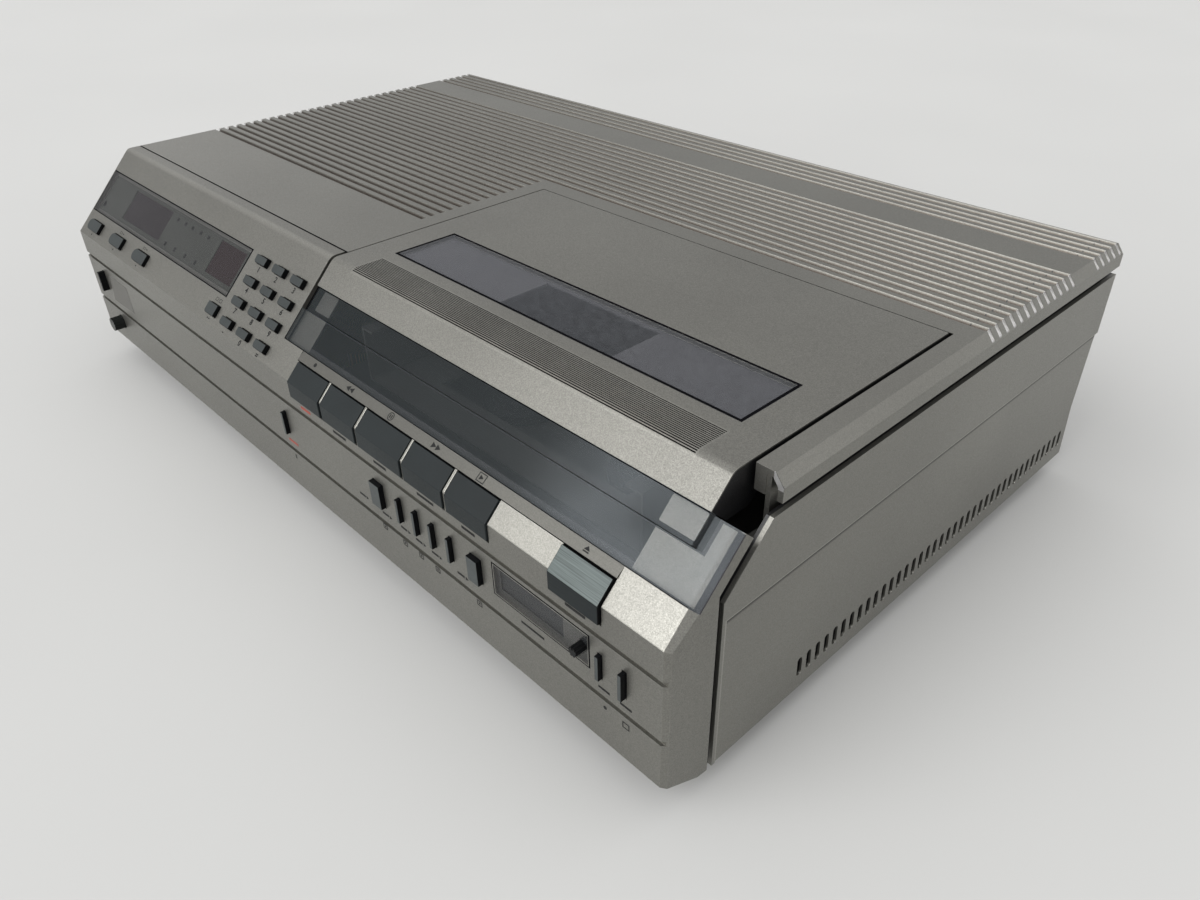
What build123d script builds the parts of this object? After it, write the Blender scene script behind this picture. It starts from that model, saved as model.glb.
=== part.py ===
from build123d import *
import math
import os

os.makedirs("parts", exist_ok=True)

# Overall size of the case, in millimetres
HALF_WIDTH = 270.0
FRONT = -163.5
UNDERSIDE = 12.0
KNEE_HEIGHT = 79.0
CASE_HEIGHT = 124.0
CASE_DEPTH = 329.5
CHAMFER_HEIGHT = 8.0
CHAMFER_DEPTH = 18.0
TOP_EDGE_RADIUS = 6.0
SLOPE_DEPTH = CASE_HEIGHT - KNEE_HEIGHT
SLOPE_LENGTH = SLOPE_DEPTH * math.sqrt(2)

# Sheet and wall thicknesses
FASCIA_WALL = 3.0
COVER_WALL = 2.5
SHEET = 2.0
PANE = 2.0
GLUE_GAP = 0.15

# Top cover
COVER_FRONT = 53.0
COVER_GAP = 0.6
BEVEL_EDGE = 266.3
BEVEL_DROP = 4.8
COVER_SIDE_DROP = 11.2
LID_HOLE_LEFT = -2.8
LID_HOLE_RIGHT = 257.7
LID_HOLE_BACK = 184.25
FLANGE_INNER = 262.5
FLANGE_OUTER = 264.5
FLANGE_BOTTOM = 100.0

# Grooves across the top cover
GROOVE_PITCH = 6.4
GROOVE_START = 107.9
GROOVE_TOP_WIDTH = 3.6
GROOVE_FLOOR_WIDTH = 2.2
GROOVE_DEPTH = 1.5
SHORT_GROOVES = 14
LONG_GROOVES = 13
REAR_GROOVES = 5
REAR_GROOVE_START = 301.2
SHORT_GROOVE_END = -14.0

# Side panels
PANEL_TOP = 109.0
PANEL_FRONT = 25.8
PANEL_BACK = 328.0
PANEL_INNER = 266.8
PANEL_STEP = 76.0
PANEL_CREASE = 30.0
VENT_COUNT = 39
VENT_START = 81.4
VENT_PITCH = 6.3
VENT_WIDTH = 3.2
VENT_BOTTOM = 7.3
VENT_TOP = 17.3

# Chassis tray and rear panel
TRAY_WALL_OUTER = 264.5
TRAY_WALL_INNER = 262.5
TRAY_WALL_TOP = 99.5
REAR_PANEL_FRONT = 326.0
REAR_PANEL_BACK = 327.8
REAR_PANEL_TOP = 112.0

# Openings in the sloped panel: x across, s up the slope from the knee
DISPLAY_X = (-265.5, -69.0)
DISPLAY_S = (17.2, 47.3)
TAPE_WINDOW_X = (-4.0, 270.0)
TAPE_WINDOW_S = (16.3, 34.1)
RISER_X = 257.9
RISER_TOP = 47.0
LID_SLOPE_START = 34.2
REBATE_LIP = 2.5

# Keypad: three columns and four rows of small keys
KEY_SIZE = (11.0, 4.6)
KEY_COLUMNS = (-54.1, -35.2, -16.3)
KEY_ROWS = (44.1, 31.4, 18.7, 6.2)
KEY_PROUD = 2.5
KEY_CORNER = 1.8
SIDE_KEY_SIZE = (10.5, 6.5)
SIDE_KEY_AT = (-74.0, 7.8)
TIMER_KEY_SIZE = (18.0, 7.3)
TIMER_KEYS = (-248.0, -211.3, -174.5)
TIMER_KEY_S = 8.4
LOW_KEY_PROUD = 2.0
KEY_GAP = 0.35
KEY_INNER = 5.0
KEY_FLANGE = 1.5
FLANGE_WIDTH = 1.2

# Piano keys folded over the knee
PIANO_KEYS = (
    (16.9, 45.5),
    (47.6, 76.3),
    (78.6, 113.0),
    (115.2, 143.5),
    (145.9, 172.8),
)
EJECT_KEY = (209.8, 236.5)
PIANO_LOW = 70.6
PIANO_HIGH = 10.6
PIANO_PROUD = 0.9
EJECT_PROUD = 1.5
PIANO_INNER = 5.0
PIANO_SIDE_GAP = 0.4
PIANO_END_GAP = 1.1

# Controls on the upright front: x limits, height limits and how far they stand out
POWER_BUTTON = ((-244.6, -242.0), (44.2, 57.4), 4.0)
RECORD_BUTTON = ((2.4, 4.5), (43.0, 56.0), 2.2)
LEFT_BUTTON = ((85.5, 93.5), (43.0, 56.0), 2.4)
RIGHT_BUTTON = ((158.6, 165.7), (43.0, 56.0), 2.4)
SLIM_BUTTONS = (106.0, 118.7, 131.0, 143.8)
SLIM_WIDTH = 2.0
SLIM_HEIGHTS = (43.2, 56.0)
SLIM_PROUD = 2.2
END_BUTTON_A = ((234.6, 236.6), (42.4, 54.7), 2.0)
END_BUTTON_B = ((247.2, 249.1), (42.1, 55.4), 2.7)
BUTTON_INNER = 6.5
COUNTER_X = (173.0, 230.4)
COUNTER_Z = (43.0, 60.3)
COUNTER_VIEW_X = (175.5, 213.5)
TRACKING_KNOB_AT = (226.2, 52.3)
TRACKING_RADIUS = 2.2
TRACKING_PROUD = 5.0
ROUND_KNOB_AT = (-236.8, 22.4)
ROUND_KNOB_RADIUS = 4.5
ROUND_KNOB_PROUD = 7.0
FRONT_GROOVES = (63.4, 32.7)
FRONT_GROOVE_HEIGHT = 2.5

# Lift lid
LID_LEFT = -2.0
LID_RIGHT = 255.7
LID_BACK = 183.8
LID_SLOPE_EDGE = 47.5
LABEL_X = (15.8, 238.5)
LABEL_Y = (69.4, 106.4)
LABEL_DEPTH = 1.5
RIB_X = (17.0, 238.7)
RIB_COUNT = 17
RIB_PITCH = 1.05
RIB_START = 61.0
RIB_WIDTH = 0.5
RIB_DEPTH = 0.4

# Lift cage and its pivot
CAGE_X = (32.8, 220.8)
CAGE_FRONT = 36.0
CAGE_BACK = 148.0
CAGE_FLOOR = 71.0
CAGE_ROOF = 100.8
CAGE_SHEET = 1.2
PIVOT_AT = (172.0, 115.5)
PIVOT_RADIUS = 3.0
RUNNING_GAP = 0.05
EAR_LEFT = (-8.0, -6.0)
EAR_RIGHT = (258.8, 260.8)

# Tape deck
DECK_X = (-20.0, 262.0)
DECK_Y = (30.0, 318.0)
DECK_HEIGHT = 50.0
REEL_CENTRE = 126.8
REEL_SPACING = 92.0
REEL_Y = 94.0
DRUM_AT = (126.8, 232.0)
DRUM_RADIUS = 31.0
CAPSTAN_AT = (200.0, 214.0)

# Drawing planes: origin at the foot of the upright front, under the case
SLOPE = Plane(origin=(0, FRONT, UNDERSIDE + KNEE_HEIGHT), x_dir=(1, 0, 0), z_dir=(0, -1, 1))
FACE = Plane(origin=(0, FRONT, UNDERSIDE), x_dir=(1, 0, 0), z_dir=(0, -1, 0))
SECTION = Plane(origin=(0, FRONT, UNDERSIDE), x_dir=(0, 1, 0), z_dir=(1, 0, 0))

# Cross planes of the slope and of the top, local y into the case, for work on the end edges
SLOPE_ENDS = Plane(origin=SLOPE.from_local_coords((0, -30, 0)), x_dir=(1, 0, 0), z_dir=(0, 1, 1))
TOP_ENDS = Plane(
    origin=(0, FRONT + 30, UNDERSIDE + CASE_HEIGHT),
    x_dir=(1, 0, 0),
    z_dir=(0, 1, 0),
)


def level(height):
    """A plan view at a height above the underside, y measured back from the front face."""
    return Plane(origin=(0, FRONT, UNDERSIDE + height), x_dir=(1, 0, 0), z_dir=(0, 0, 1))


def prism(plane, points, amount, mode=Mode.ADD):
    """Extrude a closed outline drawn on a plane."""
    with BuildSketch(plane) as outline:
        with BuildLine():
            Polyline(*points, close=True)
        make_face()
    extrude(outline.sketch, amount=amount, mode=mode)


def slab(plane, across, up, amount, mode=Mode.ADD, radius=0.0):
    """Extrude a rectangle, given by its limits on a plane, with rounded corners if asked."""
    width = across[1] - across[0]
    height = up[1] - up[0]
    middle = ((across[0] + across[1]) / 2, (up[0] + up[1]) / 2)
    with BuildSketch(plane) as outline:
        with Locations(middle):
            if radius > 0:
                RectangleRounded(width, height, radius)
            else:
                Rectangle(width, height)
    extrude(outline.sketch, amount=amount, mode=mode)


def rod(plane, centre, radius, amount, mode=Mode.ADD):
    """Extrude a circle drawn on a plane."""
    with BuildSketch(plane) as outline:
        with Locations(centre):
            Circle(radius)
    extrude(outline.sketch, amount=amount, mode=mode)


def grow(limits, margin):
    """Widen a pair of limits by the same margin at both ends."""
    return (limits[0] - margin, limits[1] + margin)


def span(centre, size):
    """Limits of a length centred on a place."""
    return (centre - size / 2, centre + size / 2)


def inner_slope(depth):
    """Height of a line under the slope, at the front face, for a depth square to the slope."""
    return KNEE_HEIGHT - depth * math.sqrt(2)


def slope_height(distance, depth=0.0):
    """Height on a line under the slope at a distance behind the front face."""
    return inner_slope(depth) + distance


def front_section():
    """Outer outline of the front, from the underside chamfer to the cover joint."""
    return [
        (CHAMFER_DEPTH, 0),
        (0, CHAMFER_HEIGHT),
        (0, KNEE_HEIGHT),
        (SLOPE_DEPTH, CASE_HEIGHT),
        (COVER_FRONT, CASE_HEIGHT),
    ]


def outer_face(points):
    """Face of a section outline with its slope to top edge rounded."""
    with BuildSketch(Plane.XY) as outline:
        with BuildLine():
            Polyline(*points, close=True)
        make_face()
        corner = outline.vertices().sort_by_distance((SLOPE_DEPTH, CASE_HEIGHT, 0))[0]
        fillet(corner, radius=TOP_EDGE_RADIUS)
    return outline.sketch


# Front fascia: upright front, slope and end returns in one moulding
chamfer_rise = CHAMFER_HEIGHT / CHAMFER_DEPTH
chamfer_shift = FASCIA_WALL * math.hypot(1, chamfer_rise)
strip_points = front_section() + [
    (COVER_FRONT, CASE_HEIGHT - FASCIA_WALL),
    (CASE_HEIGHT - FASCIA_WALL - inner_slope(FASCIA_WALL), CASE_HEIGHT - FASCIA_WALL),
    (FASCIA_WALL, slope_height(FASCIA_WALL, FASCIA_WALL)),
    (FASCIA_WALL, CHAMFER_HEIGHT + chamfer_shift - chamfer_rise * FASCIA_WALL),
    (CHAMFER_DEPTH, chamfer_shift),
]
RETURN_DEPTH = 23.0
RETURN_SLOPE_DEPTH = 8.1
RETURN_X = HALF_WIDTH - FASCIA_WALL
return_points = front_section() + [
    (COVER_FRONT, slope_height(COVER_FRONT, RETURN_SLOPE_DEPTH)),
    (RETURN_DEPTH, slope_height(RETURN_DEPTH, RETURN_SLOPE_DEPTH)),
    (RETURN_DEPTH, 0),
]
CORNER_CUT = ((266.5, 0.0), (268.5, 2.0), (270.0, 23.0), (272.0, 23.0), (272.0, -1.0), (266.5, -1.0))
EDGE_CUT = ((266.5, 0.0), (269.3, 2.8), (270.0, 8.0), (272.0, 8.0), (272.0, -1.0), (266.5, -1.0))

with BuildPart() as front_fascia:
    extrude(SECTION.offset(-RETURN_X) * outer_face(strip_points), amount=2 * RETURN_X)
    for start in (-HALF_WIDTH, RETURN_X):
        extrude(SECTION.offset(start) * outer_face(return_points), amount=FASCIA_WALL)
    for side in (-1, 1):
        corner = [(side * x, depth) for x, depth in CORNER_CUT]
        edge = [(side * x, depth) for x, depth in EDGE_CUT]
        prism(level(-1), corner, CASE_HEIGHT + 2, Mode.SUBTRACT)
        prism(SLOPE_ENDS, edge, SLOPE_LENGTH + 60, Mode.SUBTRACT)
        prism(TOP_ENDS, edge, 40, Mode.SUBTRACT)
    for height in FRONT_GROOVES:
        slab(
            FACE,
            (-268, 268),
            span(height, FRONT_GROOVE_HEIGHT),
            -1.5,
            Mode.SUBTRACT,
        )
    # Display window rebate and opening
    slab(SLOPE, DISPLAY_X, DISPLAY_S, -PANE, Mode.SUBTRACT)
    slab(SLOPE, grow(DISPLAY_X, -REBATE_LIP), grow(DISPLAY_S, -REBATE_LIP), -9, Mode.SUBTRACT)
    # Room for the tape window and the lift lid
    slab(SLOPE, (TAPE_WINDOW_X[0] - 0.2, 275), (TAPE_WINDOW_S[0], 90), -FASCIA_WALL, Mode.SUBTRACT)
    slab(SLOPE, (TAPE_WINDOW_X[0] - 0.2, LID_HOLE_RIGHT), (LID_SLOPE_START, 90), -20, Mode.SUBTRACT)
    slab(SLOPE, (TAPE_WINDOW_X[0] - 0.2, 275), (RISER_TOP, 90), -30, Mode.SUBTRACT)
    # Ledges that carry the tape window from behind
    ledge = SLOPE.offset(-FASCIA_WALL)
    slab(ledge, (-8, RETURN_X), (13, 19.3), -2)
    slab(ledge, (-8, 15), (13, LID_SLOPE_START), -2)
    slab(ledge, (238, RETURN_X), (13, LID_SLOPE_START), -2)
    slab(ledge, (LID_HOLE_RIGHT + 1, RETURN_X), (13, RISER_TOP), -2)
    # Keypad, side key and timer key openings
    for column in KEY_COLUMNS:
        for row in KEY_ROWS:
            across = grow(span(column, KEY_SIZE[0]), KEY_GAP)
            up = grow(span(row, KEY_SIZE[1]), KEY_GAP)
            slab(SLOPE, across, up, -6, Mode.SUBTRACT)
    across = grow(span(SIDE_KEY_AT[0], SIDE_KEY_SIZE[0]), KEY_GAP)
    up = grow(span(SIDE_KEY_AT[1], SIDE_KEY_SIZE[1]), KEY_GAP)
    slab(SLOPE, across, up, -6, Mode.SUBTRACT)
    for middle in TIMER_KEYS:
        across = grow(span(middle, TIMER_KEY_SIZE[0]), KEY_GAP)
        up = grow(span(TIMER_KEY_S, TIMER_KEY_SIZE[1]), KEY_GAP)
        slab(SLOPE, across, up, -6, Mode.SUBTRACT, radius=1.0)
    # Piano key openings across the knee
    for key in PIANO_KEYS + (EJECT_KEY,):
        low = PIANO_LOW - PIANO_END_GAP
        high = (PIANO_HIGH + PIANO_END_GAP) / math.sqrt(2)
        clear = FASCIA_WALL
        opening = [
            (-clear, low),
            (-clear, KNEE_HEIGHT + clear),
            (high - clear, KNEE_HEIGHT + high + clear),
            (high + 2 * clear, KNEE_HEIGHT + high - 2 * clear),
            (4 * clear, low),
        ]
        left, right = grow(key, PIANO_SIDE_GAP)
        prism(SECTION.offset(left), opening, right - left, Mode.SUBTRACT)
    # Openings for the controls on the upright front
    buttons = [POWER_BUTTON, RECORD_BUTTON, LEFT_BUTTON, RIGHT_BUTTON, END_BUTTON_A, END_BUTTON_B]
    for across, up, proud in buttons:
        slab(FACE, grow(across, KEY_GAP), grow(up, KEY_GAP), -5, Mode.SUBTRACT)
    for left in SLIM_BUTTONS:
        across = grow((left, left + SLIM_WIDTH), KEY_GAP)
        slab(FACE, across, grow(SLIM_HEIGHTS, KEY_GAP), -5, Mode.SUBTRACT)
    slab(FACE, COUNTER_X, COUNTER_Z, -PANE, Mode.SUBTRACT)
    slab(FACE, COUNTER_VIEW_X, grow(COUNTER_Z, -REBATE_LIP), -5, Mode.SUBTRACT)
    rod(FACE, TRACKING_KNOB_AT, TRACKING_RADIUS + 0.5, -5, Mode.SUBTRACT)
    rod(FACE, ROUND_KNOB_AT, ROUND_KNOB_RADIUS + 0.5, -5, Mode.SUBTRACT)
front_fascia.part.label = "front_fascia"
export_step(front_fascia.part, "parts/front_fascia.step")

# Smoky window over the clock display
with BuildPart() as display_window:
    slab(SLOPE, DISPLAY_X, DISPLAY_S, GLUE_GAP - PANE)
display_window.part.label = "display_window"
export_step(display_window.part, "parts/display_window.step")

# Display board with its tube and indicator block, hung under the slope on four posts
with BuildPart() as display_board:
    board = SLOPE.offset(-8)
    slab(board, (-261.5, -68), (15, 50), -1.6)
    for x in (-259.8, -69.8):
        for s in (17, 48):
            rod(SLOPE.offset(-FASCIA_WALL), (x, s), 1.4, -5)
    slab(board, (-225, -166), (22, 43), 4.5)
    slab(board, (-104, -71.8), (21, 43), 4.5)
display_board.part.label = "display_board"
export_step(display_board.part, "parts/display_board.step")

# Fixed tape window with its riser beside the lid
with BuildPart() as tape_window:
    slab(SLOPE, TAPE_WINDOW_X, TAPE_WINDOW_S, GLUE_GAP - FASCIA_WALL)
    slab(SLOPE, (RISER_X, TAPE_WINDOW_X[1]), (TAPE_WINDOW_S[0], RISER_TOP), GLUE_GAP - FASCIA_WALL)
    prism(SLOPE_ENDS, EDGE_CUT, SLOPE_LENGTH + 60, Mode.SUBTRACT)
tape_window.part.label = "tape_window"
export_step(tape_window.part, "parts/tape_window.step")

# Counter window with a round hole for the tracking knob
with BuildPart() as counter_window:
    slab(FACE, COUNTER_X, COUNTER_Z, GLUE_GAP - PANE)
    rod(FACE, TRACKING_KNOB_AT, TRACKING_RADIUS + 0.5, -PANE, Mode.SUBTRACT)
counter_window.part.label = "counter_window"
export_step(counter_window.part, "parts/counter_window.step")

# Counter display behind its window
with BuildPart() as counter_display:
    slab(FACE.offset(-FASCIA_WALL), (173.5, 215.5), (43.5, 59.8), -1.5)
    slab(FACE.offset(-FASCIA_WALL - 1.5), (176, 213), (46, 57.5), -9)
counter_display.part.label = "counter_display"
export_step(counter_display.part, "parts/counter_display.step")

# Top cover
with BuildPart() as top_cover:
    bevel_bottom = CASE_HEIGHT - BEVEL_DROP
    side_bottom = CASE_HEIGHT - COVER_SIDE_DROP
    inner_top = CASE_HEIGHT - COVER_WALL
    inner_side = HALF_WIDTH - COVER_WALL
    half = [
        (HALF_WIDTH, side_bottom),
        (HALF_WIDTH, bevel_bottom),
        (BEVEL_EDGE, CASE_HEIGHT),
    ]
    inner_half = [
        (BEVEL_EDGE - 1.2, inner_top),
        (inner_side, bevel_bottom - 0.9),
        (inner_side, side_bottom),
    ]
    outline = half + [(-x, z) for x, z in reversed(half)]
    outline += [(-x, z) for x, z in reversed(inner_half)] + inner_half
    back_plane = Plane(
        origin=(0, FRONT + CASE_DEPTH, UNDERSIDE),
        x_dir=(1, 0, 0),
        z_dir=(0, -1, 0),
    )
    prism(back_plane, outline, CASE_DEPTH - COVER_FRONT - COVER_GAP)
    # Flanges that drop beside the chassis and a rear flange
    for left in (-FLANGE_OUTER, FLANGE_INNER):
        slab(
            level(FLANGE_BOTTOM),
            (left, left + FLANGE_OUTER - FLANGE_INNER),
            (COVER_FRONT + 1, REAR_PANEL_FRONT),
            inner_top - FLANGE_BOTTOM,
        )
    slab(back_plane, (-inner_side, inner_side), (REAR_PANEL_TOP, inner_top), SHEET - 0.3)
    # Small block under the front of the strip beside the lid
    slab(
        level(side_bottom),
        (LID_HOLE_RIGHT, FLANGE_INNER),
        (COVER_FRONT + COVER_GAP, COVER_FRONT + 6),
        inner_top - side_bottom,
    )
    # Opening for the lid, its rear edge leaning back over the lid
    lid_hole = [
        (COVER_FRONT - 5, CASE_HEIGHT + 1),
        (LID_HOLE_BACK - 1, CASE_HEIGHT + 1),
        (LID_HOLE_BACK + 3.5, CASE_HEIGHT - 3.5),
        (COVER_FRONT - 5, CASE_HEIGHT - 3.5),
    ]
    prism(SECTION.offset(LID_HOLE_LEFT), lid_hole, LID_HOLE_RIGHT - LID_HOLE_LEFT, Mode.SUBTRACT)
    # Grooves along the cover, tapering out on the bevels
    places = []
    for index in range(SHORT_GROOVES + LONG_GROOVES):
        end = SHORT_GROOVE_END if index < SHORT_GROOVES else BEVEL_EDGE - 0.8
        places.append((GROOVE_START + index * GROOVE_PITCH, end))
    for index in range(REAR_GROOVES):
        places.append((REAR_GROOVE_START + index * GROOVE_PITCH, BEVEL_EDGE - 0.8))
    floor = CASE_HEIGHT - GROOVE_DEPTH
    for place, end in places:
        trapezoid = [
            (place - GROOVE_TOP_WIDTH / 2, CASE_HEIGHT),
            (place + GROOVE_TOP_WIDTH / 2, CASE_HEIGHT),
            (place + GROOVE_FLOOR_WIDTH / 2, floor),
            (place - GROOVE_FLOOR_WIDTH / 2, floor),
        ]
        start = 0.8 - BEVEL_EDGE
        prism(SECTION.offset(start), trapezoid, end - start, Mode.SUBTRACT)
        across = FACE.offset(-place - GROOVE_FLOOR_WIDTH / 2 - 0.2)
        sides = (-1, 1) if end > 0 else (-1,)
        for side in sides:
            wedge = [
                (side * (BEVEL_EDGE - 0.8), CASE_HEIGHT + 1),
                (side * (BEVEL_EDGE - 0.8), floor),
                (side * (HALF_WIDTH + 0.3), bevel_bottom - 0.3),
                (side * (HALF_WIDTH + 0.3), CASE_HEIGHT + 1),
            ]
            prism(across, wedge, GROOVE_FLOOR_WIDTH + 0.4, Mode.SUBTRACT)
top_cover.part.label = "top_cover"
export_step(top_cover.part, "parts/top_cover.step")


def side_panel(side):
    """Solid of a side panel, on the right for 1 and on the left for -1."""
    with BuildPart() as panel:
        front_strip = PANEL_FRONT + 2.2
        slant_top = PANEL_TOP - 0.7
        outline = [
            (PANEL_FRONT, 0),
            (PANEL_FRONT, 85.3),
            (PANEL_FRONT + slant_top - 85.3, slant_top),
            (PANEL_FRONT + slant_top - 85.3 + 0.7, PANEL_TOP),
            (PANEL_BACK, PANEL_TOP),
            (PANEL_BACK, 0),
        ]
        prism(SECTION.offset(PANEL_INNER), outline, HALF_WIDTH - PANEL_INNER)
        # Lower field set back a little, leaning in to the crease and out again below it
        field = [
            (HALF_WIDTH - 1.0, PANEL_STEP),
            (HALF_WIDTH - 1.5, PANEL_CREASE),
            (HALF_WIDTH - 0.4, -1),
            (HALF_WIDTH + 1, -1),
            (HALF_WIDTH + 1, PANEL_STEP),
        ]
        prism(FACE.offset(-PANEL_BACK - 1), field, PANEL_BACK + 1 - front_strip, Mode.SUBTRACT)
        # Folded edges that meet the chassis and the cover flange
        slab(level(PANEL_TOP - 2.5), (FLANGE_OUTER, PANEL_INNER), (60, PANEL_BACK - 2), 2.5)
        slab(level(0), (TRAY_WALL_OUTER, PANEL_INNER), (PANEL_FRONT, PANEL_BACK - 2), 2.5)
        for index in range(VENT_COUNT):
            middle = VENT_START + index * VENT_PITCH
            slab(
                SECTION.offset(PANEL_INNER - 1),
                span(middle, VENT_WIDTH),
                (VENT_BOTTOM, VENT_TOP),
                6,
                Mode.SUBTRACT,
                radius=VENT_WIDTH / 2 - 0.05,
            )
    if side < 0:
        return panel.part.mirror(Plane.YZ)
    return panel.part


with BuildPart() as right_side_panel:
    add(side_panel(1))
right_side_panel.part.label = "right_side_panel"
export_step(right_side_panel.part, "parts/right_side_panel.step")

with BuildPart() as left_side_panel:
    add(side_panel(-1))
left_side_panel.part.label = "left_side_panel"
export_step(left_side_panel.part, "parts/left_side_panel.step")

# Chassis tray: floor and two side walls
with BuildPart() as base_tray:
    slab(level(0), (-TRAY_WALL_OUTER, TRAY_WALL_OUTER), (CHAMFER_DEPTH, REAR_PANEL_FRONT), SHEET)
    wall = [
        (CHAMFER_DEPTH + 1, 0),
        (REAR_PANEL_FRONT, 0),
        (REAR_PANEL_FRONT, TRAY_WALL_TOP),
        (29, TRAY_WALL_TOP),
        (7, 77.5),
        (7, 11),
        (CHAMFER_DEPTH + 1, 4),
    ]
    for left in (-TRAY_WALL_OUTER, TRAY_WALL_INNER):
        prism(SECTION.offset(left), wall, TRAY_WALL_OUTER - TRAY_WALL_INNER)
base_tray.part.label = "base_tray"
export_step(base_tray.part, "parts/base_tray.step")

# Rubber feet
FOOT_PLACES = ((-225, 45), (225, 45), (-225, 296), (225, 296))
with BuildPart() as rubber_feet:
    for place in FOOT_PLACES:
        with BuildSketch(level(0)) as foot:
            with Locations(place):
                Circle(13)
        extrude(foot.sketch, amount=-UNDERSIDE, taper=8)
rubber_feet.part.label = "rubber_feet"
export_step(rubber_feet.part, "parts/rubber_feet.step")

# Rear panel with holes for its sockets and screws
MAINS_AT = (-215.0, 34.0)
MAINS_SIZE = (28.0, 20.0)
AERIAL_PLACES = ((150.0, 78.0), (180.0, 78.0))
AERIAL_RADIUS = 5.0
LINE_PLACES = ((150.0, 40.0), (168.0, 40.0), (186.0, 40.0), (204.0, 40.0))
LINE_RADIUS = 4.2
SCREW_PLACES = ((-255, 8), (255, 8), (-255, 92), (255, 92), (0, 8), (0, 104))
SCREW_SHANK = 1.7
with BuildPart() as rear_panel:
    rear_face = FACE.offset(-REAR_PANEL_FRONT)
    thickness = REAR_PANEL_FRONT - REAR_PANEL_BACK
    slab(rear_face, (-262, 262), (0, REAR_PANEL_TOP), thickness)
    inlet_x = span(MAINS_AT[0], MAINS_SIZE[0])
    inlet_z = span(MAINS_AT[1], MAINS_SIZE[1])
    slab(rear_face, inlet_x, inlet_z, thickness, Mode.SUBTRACT)
    for place in AERIAL_PLACES:
        rod(rear_face, place, AERIAL_RADIUS, thickness, Mode.SUBTRACT)
    for place in LINE_PLACES:
        rod(rear_face, place, LINE_RADIUS, thickness, Mode.SUBTRACT)
    for place in SCREW_PLACES:
        rod(rear_face, place, SCREW_SHANK, thickness, Mode.SUBTRACT)
rear_panel.part.label = "rear_panel"
export_step(rear_panel.part, "parts/rear_panel.step")

# Mains inlet, aerial sockets and line sockets set in the rear panel
SOCKET_BACK = 334.0
with BuildPart() as rear_sockets:
    inside = FACE.offset(-REAR_PANEL_FRONT + 12)
    slab(inside, inlet_x, inlet_z, REAR_PANEL_FRONT - 12 - SOCKET_BACK)
    rim = FACE.offset(-REAR_PANEL_BACK)
    slab(rim, grow(inlet_x, 4), grow(inlet_z, 2), -2)
    recess = FACE.offset(-SOCKET_BACK)
    slab(recess, grow(inlet_x, -3), grow(inlet_z, -3), 15, Mode.SUBTRACT)
    for offset in (-5.5, 5.5):
        rod(FACE.offset(-319.1), (MAINS_AT[0] + offset, MAINS_AT[1]), 1.2, -9)
    for place in AERIAL_PLACES:
        rod(inside, place, AERIAL_RADIUS, REAR_PANEL_FRONT - 12 - SOCKET_BACK)
        rod(rim, place, AERIAL_RADIUS + 2.5, -1.5)
        rod(recess, place, 3.4, 12, Mode.SUBTRACT)
        rod(FACE.offset(-322.1), place, 1.1, -9)
    for place in LINE_PLACES:
        rod(inside, place, LINE_RADIUS, REAR_PANEL_FRONT - 12 - SOCKET_BACK + 1)
        rod(rim, place, LINE_RADIUS + 2, -1.5)
        rod(recess, place, 1.7, 12, Mode.SUBTRACT)
rear_sockets.part.label = "rear_sockets"
export_step(rear_sockets.part, "parts/rear_sockets.step")

# Pan head screws of the rear panel
with BuildPart() as case_screws:
    for place in SCREW_PLACES:
        rod(rear_face, place, SCREW_SHANK, thickness)
        rod(FACE.offset(-REAR_PANEL_BACK), place, 3.5, -1.8)
        for across, up in ((3.8, 0.8), (0.8, 3.8)):
            slab(
                FACE.offset(-REAR_PANEL_BACK - 1.8),
                span(place[0], across),
                span(place[1], up),
                0.9,
                Mode.SUBTRACT,
            )
case_screws.part.label = "case_screws"
export_step(case_screws.part, "parts/case_screws.step")

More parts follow.
